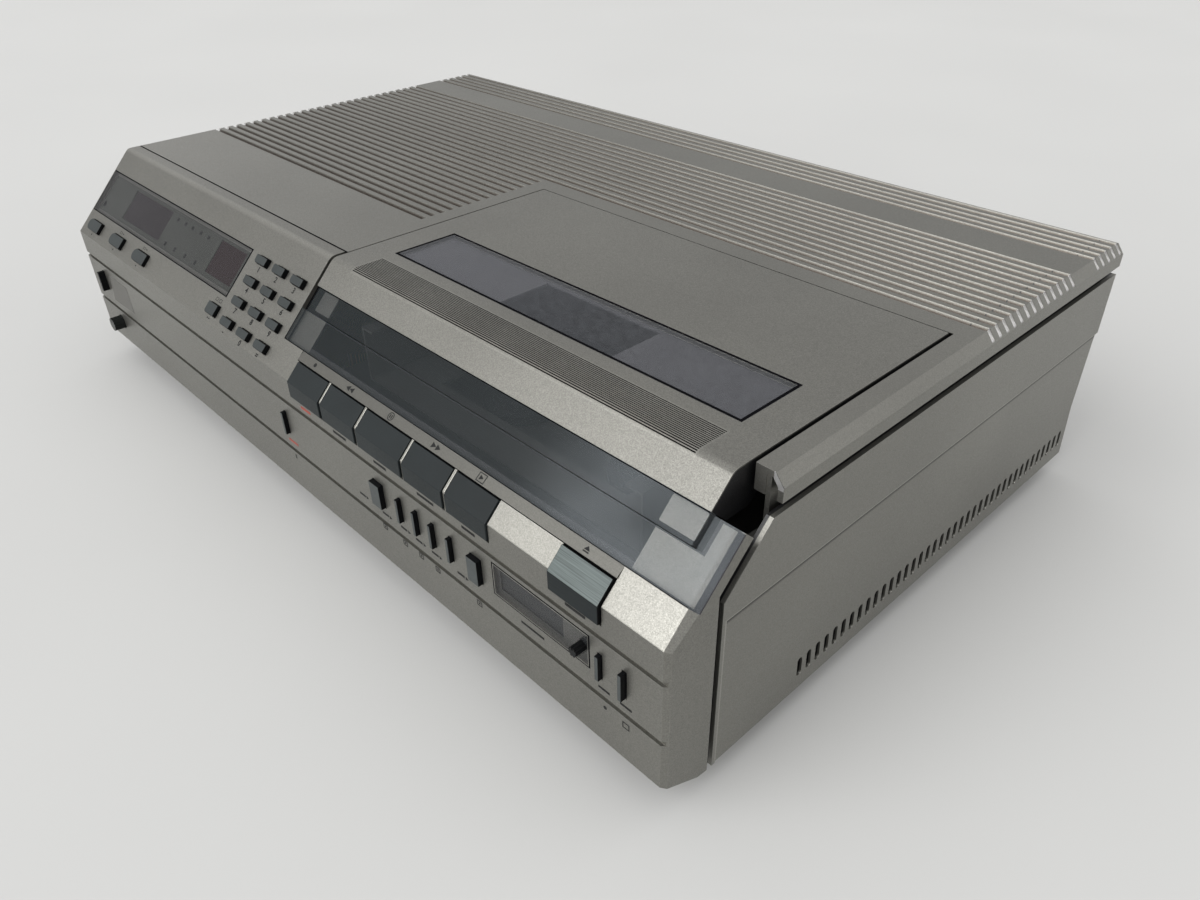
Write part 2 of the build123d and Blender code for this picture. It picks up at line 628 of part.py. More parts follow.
# Lift lid: top skin, rounded front edge, sloped front skin and side skirts
LID_SKIN = 2.5
LID_SKIRT = 1.5
slope_edge_y = LID_SLOPE_EDGE / math.sqrt(2)
edge_step = LID_SKIN / math.sqrt(2)
lid_outline = [
    (slope_edge_y, KNEE_HEIGHT + slope_edge_y),
    (SLOPE_DEPTH, CASE_HEIGHT),
    (LID_BACK, CASE_HEIGHT),
    (LID_BACK + LID_SKIN, CASE_HEIGHT - LID_SKIN),
    (CASE_HEIGHT - LID_SKIN - inner_slope(LID_SKIN), CASE_HEIGHT - LID_SKIN),
    (slope_edge_y + edge_step, KNEE_HEIGHT + slope_edge_y - edge_step),
]
with BuildPart() as lift_lid:
    extrude(SECTION.offset(LID_LEFT) * outer_face(lid_outline), amount=LID_RIGHT - LID_LEFT)
    skirt = [
        (slope_edge_y + edge_step, KNEE_HEIGHT + slope_edge_y - edge_step),
        (42.2, 104),
        (54, 104),
        (64, 113),
        (176, 113),
        (182, CASE_HEIGHT - LID_SKIN),
        (46, CASE_HEIGHT - LID_SKIN),
    ]
    for left in (LID_LEFT, LID_RIGHT - LID_SKIRT):
        prism(SECTION.offset(left), skirt, LID_SKIRT)
        rod(SECTION.offset(left), PIVOT_AT, PIVOT_RADIUS, LID_SKIRT, Mode.SUBTRACT)
    # Rebate and opening of the label window
    top = level(CASE_HEIGHT)
    slab(top, LABEL_X, LABEL_Y, -LABEL_DEPTH, Mode.SUBTRACT)
    slab(top, grow(LABEL_X, -REBATE_LIP), grow(LABEL_Y, -REBATE_LIP), -4, Mode.SUBTRACT)
    # Fine ribs along the front edge, each a small groove square to the surface
    flat_end = SLOPE_DEPTH + TOP_EDGE_RADIUS * math.tan(math.pi / 8)
    with BuildSketch(SECTION.offset(RIB_X[0])) as ribs:
        for index in range(RIB_COUNT):
            along = index * RIB_PITCH
            flat = RIB_START - flat_end
            if along <= flat:
                place = (RIB_START - along, CASE_HEIGHT)
                lean = 0
            else:
                lean = (along - flat) / TOP_EDGE_RADIUS
                place = (
                    flat_end - TOP_EDGE_RADIUS * math.sin(lean),
                    CASE_HEIGHT - TOP_EDGE_RADIUS * (1 - math.cos(lean)),
                )
            with Locations(Location(place, math.degrees(lean))):
                Rectangle(RIB_WIDTH, 2 * RIB_DEPTH)
    extrude(ribs.sketch, amount=RIB_X[1] - RIB_X[0], mode=Mode.SUBTRACT)
lift_lid.part.label = "lift_lid"
export_step(lift_lid.part, "parts/lift_lid.step")

# Clear window on the sloped front of the lid, with a tongue behind the metal skin
with BuildPart() as lid_tape_window:
    slab(SLOPE, (0.4, LID_RIGHT), (LID_SLOPE_START + 0.3, LID_SLOPE_EDGE), -4)
    tongue = (LID_SLOPE_EDGE - 1, LID_SLOPE_EDGE + 4)
    slab(SLOPE.offset(-LID_SKIN), (0.4, LID_RIGHT - LID_SKIRT), tongue, -1.5)
lid_tape_window.part.label = "lid_tape_window"
export_step(lid_tape_window.part, "parts/lid_tape_window.step")

# Label window in the top of the lid
with BuildPart() as lid_label_window:
    slab(level(CASE_HEIGHT), LABEL_X, LABEL_Y, GLUE_GAP - LABEL_DEPTH)
lid_label_window.part.label = "lid_label_window"
export_step(lid_label_window.part, "parts/lid_label_window.step")

# Cassette cage with hanger plates up to the lid and the pivot shaft
with BuildPart() as cassette_basket:
    cage_outer = grow(CAGE_X, CAGE_SHEET)
    slab(level(CAGE_FLOOR), cage_outer, (CAGE_FRONT, CAGE_BACK), CAGE_SHEET)
    hanger = [
        (CAGE_FRONT, CAGE_FLOOR),
        (CAGE_BACK, CAGE_FLOOR),
        (CAGE_BACK + 4, 103),
        (PIVOT_AT[0] + 5, PIVOT_AT[1] - 5),
        (PIVOT_AT[0] + 5, CASE_HEIGHT - LID_SKIN),
        (60, CASE_HEIGHT - LID_SKIN),
        (60, CAGE_ROOF),
        (CAGE_FRONT, CAGE_ROOF),
    ]
    for left in (cage_outer[0], CAGE_X[1]):
        prism(SECTION.offset(left), hanger, CAGE_SHEET)
    slab(level(CAGE_FLOOR), cage_outer, (CAGE_BACK - CAGE_SHEET, CAGE_BACK), CAGE_ROOF - CAGE_FLOOR)
    # Lips that guide the top of the cassette
    for lip in ((cage_outer[0], CAGE_X[0] + 8), (CAGE_X[1] - 8, cage_outer[1])):
        slab(level(CAGE_ROOF - CAGE_SHEET), lip, (CAGE_FRONT, CAGE_BACK), CAGE_SHEET)
    # Openings in the floor over the reel tables and tape guides
    slab(level(CAGE_FLOOR), (62, 192), (58, CAGE_BACK - 6), CAGE_SHEET, Mode.SUBTRACT)
    rod(SECTION.offset(-9), PIVOT_AT, PIVOT_RADIUS, 270.6)
cassette_basket.part.label = "cassette_basket"
export_step(cassette_basket.part, "parts/cassette_basket.step")

# Deck plate with corner posts and two ears that carry the lid pivot
with BuildPart() as deck_plate:
    slab(level(DECK_HEIGHT), DECK_X, DECK_Y, SHEET)
    for x in (DECK_X[0] + 8, DECK_X[1] - 8):
        for y in (DECK_Y[0] + 12, DECK_Y[1] - 12):
            rod(level(SHEET), (x, y), 4, DECK_HEIGHT - SHEET)
    ear = [
        (PIVOT_AT[0] - 16, DECK_HEIGHT),
        (PIVOT_AT[0] + 16, DECK_HEIGHT),
        (PIVOT_AT[0] + 7, CASE_HEIGHT - 4),
        (PIVOT_AT[0] - 7, CASE_HEIGHT - 4),
    ]
    for limits in (EAR_LEFT, EAR_RIGHT):
        prism(SECTION.offset(limits[0]), ear, SHEET)
        bore = PIVOT_RADIUS + RUNNING_GAP
        rod(SECTION.offset(limits[0] - 1), PIVOT_AT, bore, SHEET + 2, Mode.SUBTRACT)
    for side in (-1, 1):
        place = (REEL_CENTRE + side * REEL_SPACING / 2, REEL_Y)
        rod(level(DECK_HEIGHT), place, 3 + RUNNING_GAP, SHEET, Mode.SUBTRACT)
    rod(level(DECK_HEIGHT), CAPSTAN_AT, 2 + RUNNING_GAP, SHEET, Mode.SUBTRACT)
deck_plate.part.label = "deck_plate"
export_step(deck_plate.part, "parts/deck_plate.step")

# Fixed lower drum with its tilted foot ring and bore
deck_top = DECK_HEIGHT + SHEET
with BuildPart() as drum_base:
    rod(level(deck_top), DRUM_AT, DRUM_RADIUS + 9, 5)
    rod(level(deck_top), DRUM_AT, DRUM_RADIUS, 19)
    rod(level(deck_top), DRUM_AT, 4 + RUNNING_GAP, 19, Mode.SUBTRACT)
drum_base.part.label = "drum_base"
export_step(drum_base.part, "parts/drum_base.step")

# Rotating head drum on its shaft
with BuildPart() as head_drum:
    rod(level(deck_top + 19.4), DRUM_AT, DRUM_RADIUS, 16)
    rod(level(deck_top + 35.4), DRUM_AT, 12, 4)
    rod(level(deck_top + 2), DRUM_AT, 4, 20)
    for side in (-1, 1):
        slab(
            level(deck_top + 19.4),
            span(DRUM_AT[0] + side * DRUM_RADIUS, 3),
            span(DRUM_AT[1], 4),
            2.5,
            Mode.SUBTRACT,
        )
head_drum.part.label = "head_drum"
export_step(head_drum.part, "parts/head_drum.step")

# Capstan with its flywheel under the deck
with BuildPart() as capstan_flywheel:
    rod(level(DECK_HEIGHT - 14), CAPSTAN_AT, 38, 10)
    rod(level(DECK_HEIGHT - 14), CAPSTAN_AT, 2, 56)
    for step in range(5):
        angle = 2 * math.pi * step / 5
        hole = (CAPSTAN_AT[0] + 24 * math.cos(angle), CAPSTAN_AT[1] + 24 * math.sin(angle))
        rod(level(DECK_HEIGHT - 14), hole, 6, 10, Mode.SUBTRACT)
capstan_flywheel.part.label = "capstan_flywheel"
export_step(capstan_flywheel.part, "parts/capstan_flywheel.step")


def reel_table(side):
    """Solid of a reel table: dish, three-winged spindle and shaft."""
    centre = (REEL_CENTRE + side * REEL_SPACING / 2, REEL_Y)
    with BuildPart() as table:
        rod(level(deck_top + 0.5), centre, 3, -SHEET - 3)
        rod(level(deck_top + 0.5), centre, 21, 5)
        rod(level(deck_top + 5.5), centre, 16, 4)
        rod(level(deck_top + 9.5), centre, 5.5, 9)
        for step in range(3):
            angle = 90 + 120 * step
            with BuildSketch(level(deck_top + 9.5)) as wing:
                with Locations(Location(centre, angle)):
                    with Locations((6, 0)):
                        Rectangle(4, 2)
            extrude(wing.sketch, amount=7)
        for step in range(3):
            angle = math.radians(30 + 120 * step)
            mark = (centre[0] + 18.5 * math.cos(angle), centre[1] + 18.5 * math.sin(angle))
            rod(level(deck_top + 5.5), mark, 1.2, -1.5, Mode.SUBTRACT)
    return table.part


with BuildPart() as supply_reel_table:
    add(reel_table(-1))
supply_reel_table.part.label = "supply_reel_table"
export_step(supply_reel_table.part, "parts/supply_reel_table.step")

with BuildPart() as take_up_reel_table:
    add(reel_table(1))
take_up_reel_table.part.label = "take_up_reel_table"
export_step(take_up_reel_table.part, "parts/take_up_reel_table.step")

# Mains transformer: core, winding and mounting feet
with BuildPart() as transformer:
    slab(level(SHEET), (-236, -160), (244, 300), 3)
    slab(level(SHEET + 3), (-228, -168), (248, 296), 46)
    slab(level(SHEET + 12), (-234, -162), (254, 290), 28)
transformer.part.label = "transformer"
export_step(transformer.part, "parts/transformer.step")

# Main circuit board on standoffs with its largest components
CAPACITORS = ((-240, 60), (-240, 82), (-240, 104), (-60, 60), (-60, 80))
CHIPS = ((-190, 70), (-150, 70), (-110, 70), (-190, 120), (-150, 120), (-110, 120))
with BuildPart() as main_board:
    slab(level(10), (-256, -36), (40, 238), 1.6)
    for x in (-250, -42):
        for y in (46, 140, 232):
            rod(level(SHEET), (x, y), 3, 8)
    for place in CAPACITORS:
        rod(level(11.6), place, 8, 26)
    for x, y in CHIPS:
        slab(level(11.6), span(x, 24), span(y, 9), 4)
    slab(level(11.6), (-245, -195), (160, 205), 30)
    slab(level(11.6), (-120, -60), (165, 200), 22)
main_board.part.label = "main_board"
export_step(main_board.part, "parts/main_board.step")


def save(part, name):
    """Label a solid and write it to its own file."""
    part.label = name
    export_step(part, "parts/" + name + ".step")


def slope_key(across, up, proud, corner=0.0):
    """A key through the slope with a flange behind the wall."""
    back = SLOPE.offset(-KEY_INNER)
    with BuildPart() as key:
        with BuildSketch(back) as cap:
            with Locations(((across[0] + across[1]) / 2, (up[0] + up[1]) / 2)):
                Rectangle(across[1] - across[0], up[1] - up[0])
            if corner > 0:
                upper_left = back.from_local_coords((across[0], up[1], 0))
                fillet(cap.vertices().sort_by_distance(upper_left)[0], radius=corner)
        extrude(cap.sketch, amount=KEY_INNER + proud)
        slab(back, grow(across, FLANGE_WIDTH), grow(up, FLANGE_WIDTH), KEY_FLANGE)
    return key.part


def front_button(across, up, proud):
    """A button through the upright front with a flange behind the wall."""
    with BuildPart() as button:
        slab(FACE.offset(-BUTTON_INNER), across, up, BUTTON_INNER + proud)
        slab(FACE.offset(-FASCIA_WALL - 1.6), grow(across, FLANGE_WIDTH), grow(up, FLANGE_WIDTH), 1.2)
    return button.part


def piano_key(across, proud):
    """A key folded over the knee, ending square to the slope at its top."""
    turn = math.tan(math.pi / 8)
    high = PIANO_HIGH / math.sqrt(2)
    step = proud / math.sqrt(2)
    inset = PIANO_INNER / math.sqrt(2)
    outline = [
        (-proud, PIANO_LOW),
        (-proud, KNEE_HEIGHT + proud * turn),
        (high - step, KNEE_HEIGHT + high + step),
        (high + inset, KNEE_HEIGHT + high - inset),
        (PIANO_INNER + 1, KNEE_HEIGHT - PIANO_INNER),
        (PIANO_INNER + 1, PIANO_LOW),
    ]
    with BuildPart() as key:
        prism(SECTION.offset(across[0]), outline, across[1] - across[0])
        # Flange behind the wall below the opening
        flange_up = (PIANO_LOW - 3, PIANO_LOW + 2)
        slab(FACE.offset(-PIANO_INNER - 1), across, flange_up, KEY_FLANGE)
    return key.part


# Keypad keys
for row, s in enumerate(KEY_ROWS, start=1):
    for column, x in enumerate(KEY_COLUMNS, start=1):
        key = slope_key(span(x, KEY_SIZE[0]), span(s, KEY_SIZE[1]), KEY_PROUD, KEY_CORNER)
        save(key, "keypad_r%d_c%d" % (row, column))

# Squarer key beside the keypad
key = slope_key(
    span(SIDE_KEY_AT[0], SIDE_KEY_SIZE[0]),
    span(SIDE_KEY_AT[1], SIDE_KEY_SIZE[1]),
    LOW_KEY_PROUD,
    KEY_CORNER,
)
save(key, "side_key")

# Timer keys with a round left end
for number, x in enumerate(TIMER_KEYS, start=1):
    radius = TIMER_KEY_SIZE[1] / 2
    across = span(x, TIMER_KEY_SIZE[0])
    up = span(TIMER_KEY_S, TIMER_KEY_SIZE[1])
    with BuildPart() as timer_key:
        back = SLOPE.offset(-KEY_INNER)
        height = KEY_INNER + LOW_KEY_PROUD
        slab(back, (across[0] + radius, across[1]), up, height)
        rod(back, (across[0] + radius, TIMER_KEY_S), radius, height)
        slab(back, grow(across, FLANGE_WIDTH), grow(up, FLANGE_WIDTH), KEY_FLANGE)
    save(timer_key.part, "timer_key_%d" % number)

# Piano keys and the eject key
for number, across in enumerate(PIANO_KEYS, start=1):
    save(piano_key(across, PIANO_PROUD), "piano_key_%d" % number)
save(piano_key(EJECT_KEY, EJECT_PROUD), "eject_key")

# Buttons on the upright front
save(front_button(*POWER_BUTTON), "power_button")
save(front_button(*RECORD_BUTTON), "record_button")
save(front_button(*LEFT_BUTTON), "front_button_a")
save(front_button(*RIGHT_BUTTON), "front_button_b")
for number, left in enumerate(SLIM_BUTTONS, start=1):
    save(front_button((left, left + SLIM_WIDTH), SLIM_HEIGHTS, SLIM_PROUD), "slim_button_%d" % number)
save(front_button(*END_BUTTON_A), "end_button_a")
save(front_button(*END_BUTTON_B), "end_button_b")


def front_knob(centre, radius, proud, flutes):
    """A small knob through the upright front, with flutes round its edge and a flange behind."""
    with BuildPart() as knob:
        rod(FACE.offset(-BUTTON_INNER), centre, radius, BUTTON_INNER + proud)
        rod(FACE.offset(-BUTTON_INNER), centre, radius + FLANGE_WIDTH, 2)
        for step in range(flutes):
            angle = 2 * math.pi * step / flutes
            edge = (centre[0] + radius * math.cos(angle), centre[1] + radius * math.sin(angle))
            rod(FACE.offset(0.3), edge, 0.45, proud, Mode.SUBTRACT)
        # Pointer groove on the face
        slab(
            FACE.offset(proud),
            span(centre[0], 0.8),
            (centre[1] + 1, centre[1] + radius),
            -0.5,
            Mode.SUBTRACT,
        )
    return knob.part


save(front_knob(TRACKING_KNOB_AT, TRACKING_RADIUS, TRACKING_PROUD, 8), "tracking_knob")
save(front_knob(ROUND_KNOB_AT, ROUND_KNOB_RADIUS, ROUND_KNOB_PROUD, 16), "round_knob")
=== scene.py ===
import math
import bmesh
import bpy
from mathutils import Matrix, Vector


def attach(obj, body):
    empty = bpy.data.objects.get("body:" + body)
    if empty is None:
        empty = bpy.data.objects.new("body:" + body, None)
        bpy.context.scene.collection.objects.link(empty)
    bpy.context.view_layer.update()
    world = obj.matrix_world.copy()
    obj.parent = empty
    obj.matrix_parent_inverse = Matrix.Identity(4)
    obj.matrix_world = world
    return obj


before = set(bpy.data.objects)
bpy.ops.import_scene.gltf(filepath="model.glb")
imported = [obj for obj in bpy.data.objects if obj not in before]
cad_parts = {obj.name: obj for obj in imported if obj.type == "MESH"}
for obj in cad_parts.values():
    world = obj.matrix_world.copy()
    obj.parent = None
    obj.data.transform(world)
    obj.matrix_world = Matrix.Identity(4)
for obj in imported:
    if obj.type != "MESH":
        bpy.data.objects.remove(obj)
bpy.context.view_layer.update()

# Sizes of the case in millimetres: y behind the front face and z above the underside
MM = 0.001
FRONT = -163.5
UNDERSIDE = 12.0
KNEE = 79.0
CASE_HEIGHT = 124.0
HALF_WIDTH = 270.0
ROOT = math.sqrt(0.5)
BEVEL_EDGE = 266.3
BEVEL_OUT = (0.792, 0.61)
ROUND_RADIUS = 6.0
ROUND_CENTRE = (47.485, 118.0)
# Product that Place takes to find the middle of the rounding, as a share of the radius squared
MIDDLE_LEAN = 0.207

# Keys and controls, in millimetres on the surface that carries them
KEY_COLUMNS = (-54.1, -35.2, -16.3)
KEY_ROWS = (44.1, 31.4, 18.7, 6.2)
SIDE_KEY = (-74.0, 7.8)
TIMER_KEYS = (-248.0, -211.3, -174.5)
PIANO_KEYS = ((16.9, 45.5), (47.6, 76.3), (78.6, 113.0), (115.2, 143.5), (145.9, 172.8))
KEY_GAP = 0.4
DISPLAY_X = (-265.5, -69.0)
DISPLAY_S = (17.2, 47.3)
TAPE_WINDOW_S = (16.3, 34.1)
LID_WINDOW_X = (0.4, 255.7)
LID_WINDOW_S = (34.5, 47.5)
LABEL_X = (15.8, 238.5)
LABEL_Y = (69.4, 106.4)
COUNTER_X = (173.0, 230.4)
COUNTER_Z = (43.0, 60.3)


def srgb(red, green, blue):
    """Linear colour of an eight bit screen colour."""
    values = []
    for value in (red, green, blue):
        share = value / 255
        values.append(share / 12.92 if share <= 0.04045 else ((share + 0.055) / 1.055) ** 2.4)
    return (*values, 1.0)


class Surface:
    """A flat face of the case: across it, up or back along it, and out of it."""

    def __init__(self, origin, right, up):
        self.origin = Vector(origin)
        self.right = Vector(right)
        self.up = Vector(up)
        self.out = self.right.cross(self.up)

    def at(self, across, along, out=0.0):
        return (self.origin + across * self.right + along * self.up + out * self.out) * MM


SLOPE = Surface((0, FRONT, UNDERSIDE + KNEE), (1, 0, 0), (0, ROOT, ROOT))
FACE = Surface((0, FRONT, UNDERSIDE), (1, 0, 0), (0, 0, 1))
TOP = Surface((0, FRONT, UNDERSIDE + CASE_HEIGHT), (1, 0, 0), (0, 1, 0))


# Camera at the angle of the photograph
CAMERA_PLACE = Vector((0.4106, -0.3250, 0.3192))
CAMERA_PITCH = math.radians(-34.40)
CAMERA_ROLL = math.radians(-1.13)
CAMERA_YAW = math.radians(46.91)
FOCAL_PIXELS = 939.1
PHOTO_WIDTH = 1200
SENSOR_WIDTH = 36.0


def add_camera():
    flat = math.cos(CAMERA_PITCH)
    forward = Vector((-math.sin(CAMERA_YAW) * flat, math.cos(CAMERA_YAW) * flat, math.sin(CAMERA_PITCH)))
    level_right = Vector((math.cos(CAMERA_YAW), math.sin(CAMERA_YAW), 0))
    level_up = level_right.cross(forward)
    right = level_right * math.cos(CAMERA_ROLL) + level_up * math.sin(CAMERA_ROLL)
    up = level_up * math.cos(CAMERA_ROLL) - level_right * math.sin(CAMERA_ROLL)
    data = bpy.data.cameras.new("camera")
    data.sensor_width = SENSOR_WIDTH
    data.lens = FOCAL_PIXELS * SENSOR_WIDTH / PHOTO_WIDTH
    data.clip_start = 0.01
    camera = bpy.data.objects.new("camera", data)
    turn = Matrix((right, up, -forward)).transposed()
    camera.matrix_world = Matrix.Translation(CAMERA_PLACE) @ turn.to_4x4()
    bpy.context.scene.collection.objects.link(camera)
    bpy.context.scene.camera = camera


class Graph:
    """A material's node graph, with short calls that return sockets."""

    def __init__(self, tree):
        self.tree = tree

    def node(self, kind, **settings):
        made = self.tree.nodes.new(kind)
        for name, value in settings.items():
            setattr(made, name, value)
        return made

    def put(self, socket, value):
        if isinstance(value, bpy.types.NodeSocket):
            self.tree.links.new(value, socket)
        else:
            socket.default_value = value

    def math(self, operation, *values):
        made = self.node("ShaderNodeMath", operation=operation)
        for socket, value in zip(made.inputs, values):
            self.put(socket, value)
        return made.outputs[0]

    def vector(self, operation, *values):
        made = self.node("ShaderNodeVectorMath", operation=operation)
        for socket, value in zip(made.inputs, values):
            self.put(socket, value)
        return made.outputs["Value" if operation == "DOT_PRODUCT" else "Vector"]

    def ramp(self, value, low, high, start=0.0, end=1.0, smooth=False):
        made = self.node("ShaderNodeMapRange")
        made.interpolation_type = "SMOOTHSTEP" if smooth else "LINEAR"
        for name, number in (("From Min", low), ("From Max", high), ("To Min", start), ("To Max", end)):
            made.inputs[name].default_value = number
        self.put(made.inputs["Value"], value)
        return made.outputs["Result"]

    def mix(self, amount, first, second):
        made = self.node("ShaderNodeMix", data_type="RGBA")
        for index, value in ((0, amount), (6, first), (7, second)):
            self.put(made.inputs[index], value)
        return made.outputs[2]

    def noise(self, place, scale, detail=2.0, stretch=None):
        if stretch is not None:
            place = self.vector("MULTIPLY", place, stretch)
        made = self.node("ShaderNodeTexNoise")
        made.inputs["Scale"].default_value = scale
        made.inputs["Detail"].default_value = detail
        self.put(made.inputs["Vector"], place)
        return made.outputs["Fac"]

    def cells(self, place, scale):
        made = self.node("ShaderNodeTexVoronoi")
        made.inputs["Scale"].default_value = scale
        self.put(made.inputs["Vector"], place)
        return made.outputs["Color"]

    def bump(self, height, distance, strength=1.0):
        made = self.node("ShaderNodeBump")
        made.inputs["Distance"].default_value = distance
        made.inputs["Strength"].default_value = strength
        self.put(made.inputs["Height"], height)
        return made.outputs["Normal"]


class Material(Graph):
    """A principled material with its place on the object and its own coordinates at hand."""

    def __init__(self, name, **constants):
        self.material = bpy.data.materials.new(name)
        self.material.use_nodes = True
        super().__init__(self.material.node_tree)
        self.surface = self.tree.nodes["Principled BSDF"]
        self.output = self.tree.nodes["Material Output"]
        coordinates = self.node("ShaderNodeTexCoord")
        self.place = coordinates.outputs["Object"]
        self.facing = coordinates.outputs["Normal"]
        for key, value in constants.items():
            self.set(key.replace("_", " "), value)

    def set(self, name, value):
        self.put(self.surface.inputs[name], value)

    def scaled(self, colour, factor):
        made = self.node("ShaderNodeVectorMath", operation="SCALE")
        self.put(made.inputs[0], colour)
        self.put(made.inputs["Scale"], factor)
        return made.outputs[0]

    def edges(self, radius):
        """One near a sharp edge of the object, nought on flat ground, with a radius in millimetres."""
        rounded = self.node("ShaderNodeBevel", samples=4)
        rounded.inputs["Radius"].default_value = radius * MM
        true = self.node("ShaderNodeNewGeometry").outputs["True Normal"]
        return self.ramp(self.vector("DOT_PRODUCT", rounded.outputs[0], true), 0.995, 0.93, 0.0, 1.0)

    def parts(self):
        split = self.node("ShaderNodeSeparateXYZ")
        self.put(split.inputs[0], self.place)
        return split.outputs


class Place:
    """A point's place behind the front, above the underside and under the outer faces, in metres."""

    def __init__(self, shader):
        x, y, z = shader.parts()
        self.x = x
        self.wide = shader.math("ABSOLUTE", x)
        self.behind = shader.math("SUBTRACT", y, FRONT * MM)
        self.above = shader.math("SUBTRACT", z, UNDERSIDE * MM)
        under_top = shader.math("SUBTRACT", CASE_HEIGHT * MM, self.above)
        from_slope = shader.math("ADD", shader.math("SUBTRACT", self.behind, self.above), KNEE * MM)
        under_slope = shader.math("MULTIPLY", from_slope, ROOT)
        in_side = shader.math("SUBTRACT", HALF_WIDTH * MM, self.wide)
        inside_bevel = shader.math("SUBTRACT", BEVEL_EDGE * MM, self.wide)
        past_bevel = shader.math("MULTIPLY", inside_bevel, BEVEL_OUT[0])
        self.in_bevel = shader.math("ADD", past_bevel, shader.math("MULTIPLY", under_top, BEVEL_OUT[1]))
        depth = self.behind
        for other in (under_slope, under_top, in_side, self.in_bevel):
            depth = shader.math("MINIMUM", depth, other)
        # Rounding between the slope and the top
        before = shader.math("SUBTRACT", ROUND_CENTRE[0] * MM, self.behind)
        over = shader.math("SUBTRACT", self.above, ROUND_CENTRE[1] * MM)
        before_squared = shader.math("MULTIPLY", before, before)
        over_squared = shader.math("MULTIPLY", over, over)
        reach = shader.math("ADD", before_squared, over_squared)
        in_round = shader.math("SUBTRACT", ROUND_RADIUS * MM, shader.math("SQRT", reach))
        wedge = shader.math("MULTIPLY", shader.math("GREATER_THAN", before, 0.0),
                            shader.math("GREATER_THAN", over, before))
        change = shader.math("MULTIPLY", wedge, shader.math("SUBTRACT", in_round, depth))
        self.depth = shader.math("ADD", depth, change)
        # One in the middle of the rounding, nought at both of its ends
        lean = shader.math("MULTIPLY", before, shader.math("SUBTRACT", over, before))
        most = MIDDLE_LEAN * (ROUND_RADIUS * MM) ** 2
        self.middle_of_round = shader.math("MULTIPLY", wedge, shader.ramp(lean, 0.0, most))


PAINT_LIGHT = srgb(130, 129, 123)
PAINT_DARK = srgb(114, 113, 108)
UNPAINTED = srgb(18, 18, 19)
# Light colour for rubbed paint on edges, and for the painted highlight on the side panels' rim
EDGE_WEAR_AND_HIGHLIGHT = srgb(176, 174, 167)
FLAKE_SCALE = 2700
GRAIN_SCALE = 1800


def shaded(colour, factor):
    return tuple(factor * c for c in colour[:3]) + (1.0,)


def metallic_paint(name, tone=1.0, painted_depth=2.1, rough=0.40, sparkle=0.5, wear=0.35, detail=None):
    """Grey metallic spray paint with coarse flakes and rubbed edges, bare dark plastic under it."""
    shader = Material(name)
    grain = shader.noise(shader.place, GRAIN_SCALE, 3.0)
    split = shader.node("ShaderNodeSeparateColor")
    shader.put(split.inputs[0], shader.cells(shader.place, FLAKE_SCALE))
    cloud = shader.noise(shader.place, 9.0, 3.0)
    patches = shader.ramp(cloud, 0.3, 0.7, 0.25, 0.75)
    colour = shader.mix(patches, shaded(PAINT_DARK, tone), shaded(PAINT_LIGHT, tone))
    spread = 0.28 * sparkle
    speck = shader.ramp(split.outputs[0], 0.0, 1.0, 1 - spread, 1 + spread)
    fine = shader.ramp(grain, 0.25, 0.75, 0.92, 1.08)
    colour = shader.scaled(colour, shader.math("MULTIPLY", speck, fine))
    rubbed = shader.edges(0.45)
    patchy = shader.ramp(shader.noise(shader.place, 55.0, 4.0), 0.42, 0.7, 0.25, 1.0)
    worn = shader.math("MULTIPLY", shader.math("MULTIPLY", rubbed, patchy), wear)
    colour = shader.mix(worn, colour, EDGE_WEAR_AND_HIGHLIGHT)
    place = Place(shader)
    bare = shader.ramp(place.depth, painted_depth * MM, (painted_depth + 0.2) * MM)
    if detail is not None:
        colour, bare = detail(shader, place, colour, bare)
    shader.set("Base Color", shader.mix(bare, colour, UNPAINTED))
    shader.set("Metallic", shader.ramp(bare, 0.0, 1.0, 0.88, 0.0))
    shader.set("Roughness", shader.ramp(split.outputs[1], 0.0, 1.0, rough - 0.07, rough + 0.07))
    tilt = shader.math("ADD", shader.math("MULTIPLY", split.outputs[2], 0.6), grain)
    shader.set("Normal", shader.bump(tilt, 0.00006, sparkle))
    return shader.material


def between(shader, value, limits):
    """One where a value in metres lies between two sizes in millimetres."""
    over = shader.math("GREATER_THAN", value, limits[0] * MM)
    under = shader.math("LESS_THAN", value, limits[1] * MM)
    return shader.math("MULTIPLY", over, under)


def rise(shader, value, limits, start=0.0, end=1.0):
    """A ramp of a value in metres between two sizes in millimetres."""
    return shader.ramp(value, limits[0] * MM, limits[1] * MM, start, end)


# Limits of the painted details in millimetres, and how strong each detail is; most of them are painted light
# and shade
ROUND_HIGHLIGHT = 0.3
RIBS_X = (16.0, 239.5)
RIBS_Y = (43.0, 62.0)
RIB_FLOOR_DEPTH = (0.02, 0.06)
RIB_CREST_DEPTH = (0.01, 0.02)
CREST_HIGHLIGHT = 0.15
RIB_FLOOR_SHADE = srgb(12, 11, 10)
LID_SLOT_X = (255.3, 256.0)
LID_SLOT_DEPTH = (0.5, 0.8)
COVER_SLOT_X = (257.4, 258.0)
COVER_SLOT_DEPTH = (0.4, 0.7)
CUT_FRONT_Y = 60.0
GROOVE_DEPTH = (0.15, 1.0)
GROOVE_DUST_AND_SHADE = srgb(86, 80, 74)
GROOVE_END_X = (265.4, 269.85)
GROOVE_END_Z = (117.5, 124.0)
GROOVE_END_DEPTH = (0.15, 0.4)
GROOVE_END_GLINT = srgb(214, 213, 212)
SIDE_STILE_Y = (27.4, 28.05)
SIDE_STILE_TOP = 76.0
SIDE_RIM_Z = (75.9, 76.45)
SIDE_RIM_HIGHLIGHT = 0.55
SIDE_SHADOW_Z = (72.0, 75.9)
SIDE_SHADOW_FADE_Z = (72.6, 73.8)
SIDE_SHADOW_STRENGTH = 0.8
SIDE_SHADOW_COLOUR = srgb(40, 38, 36)


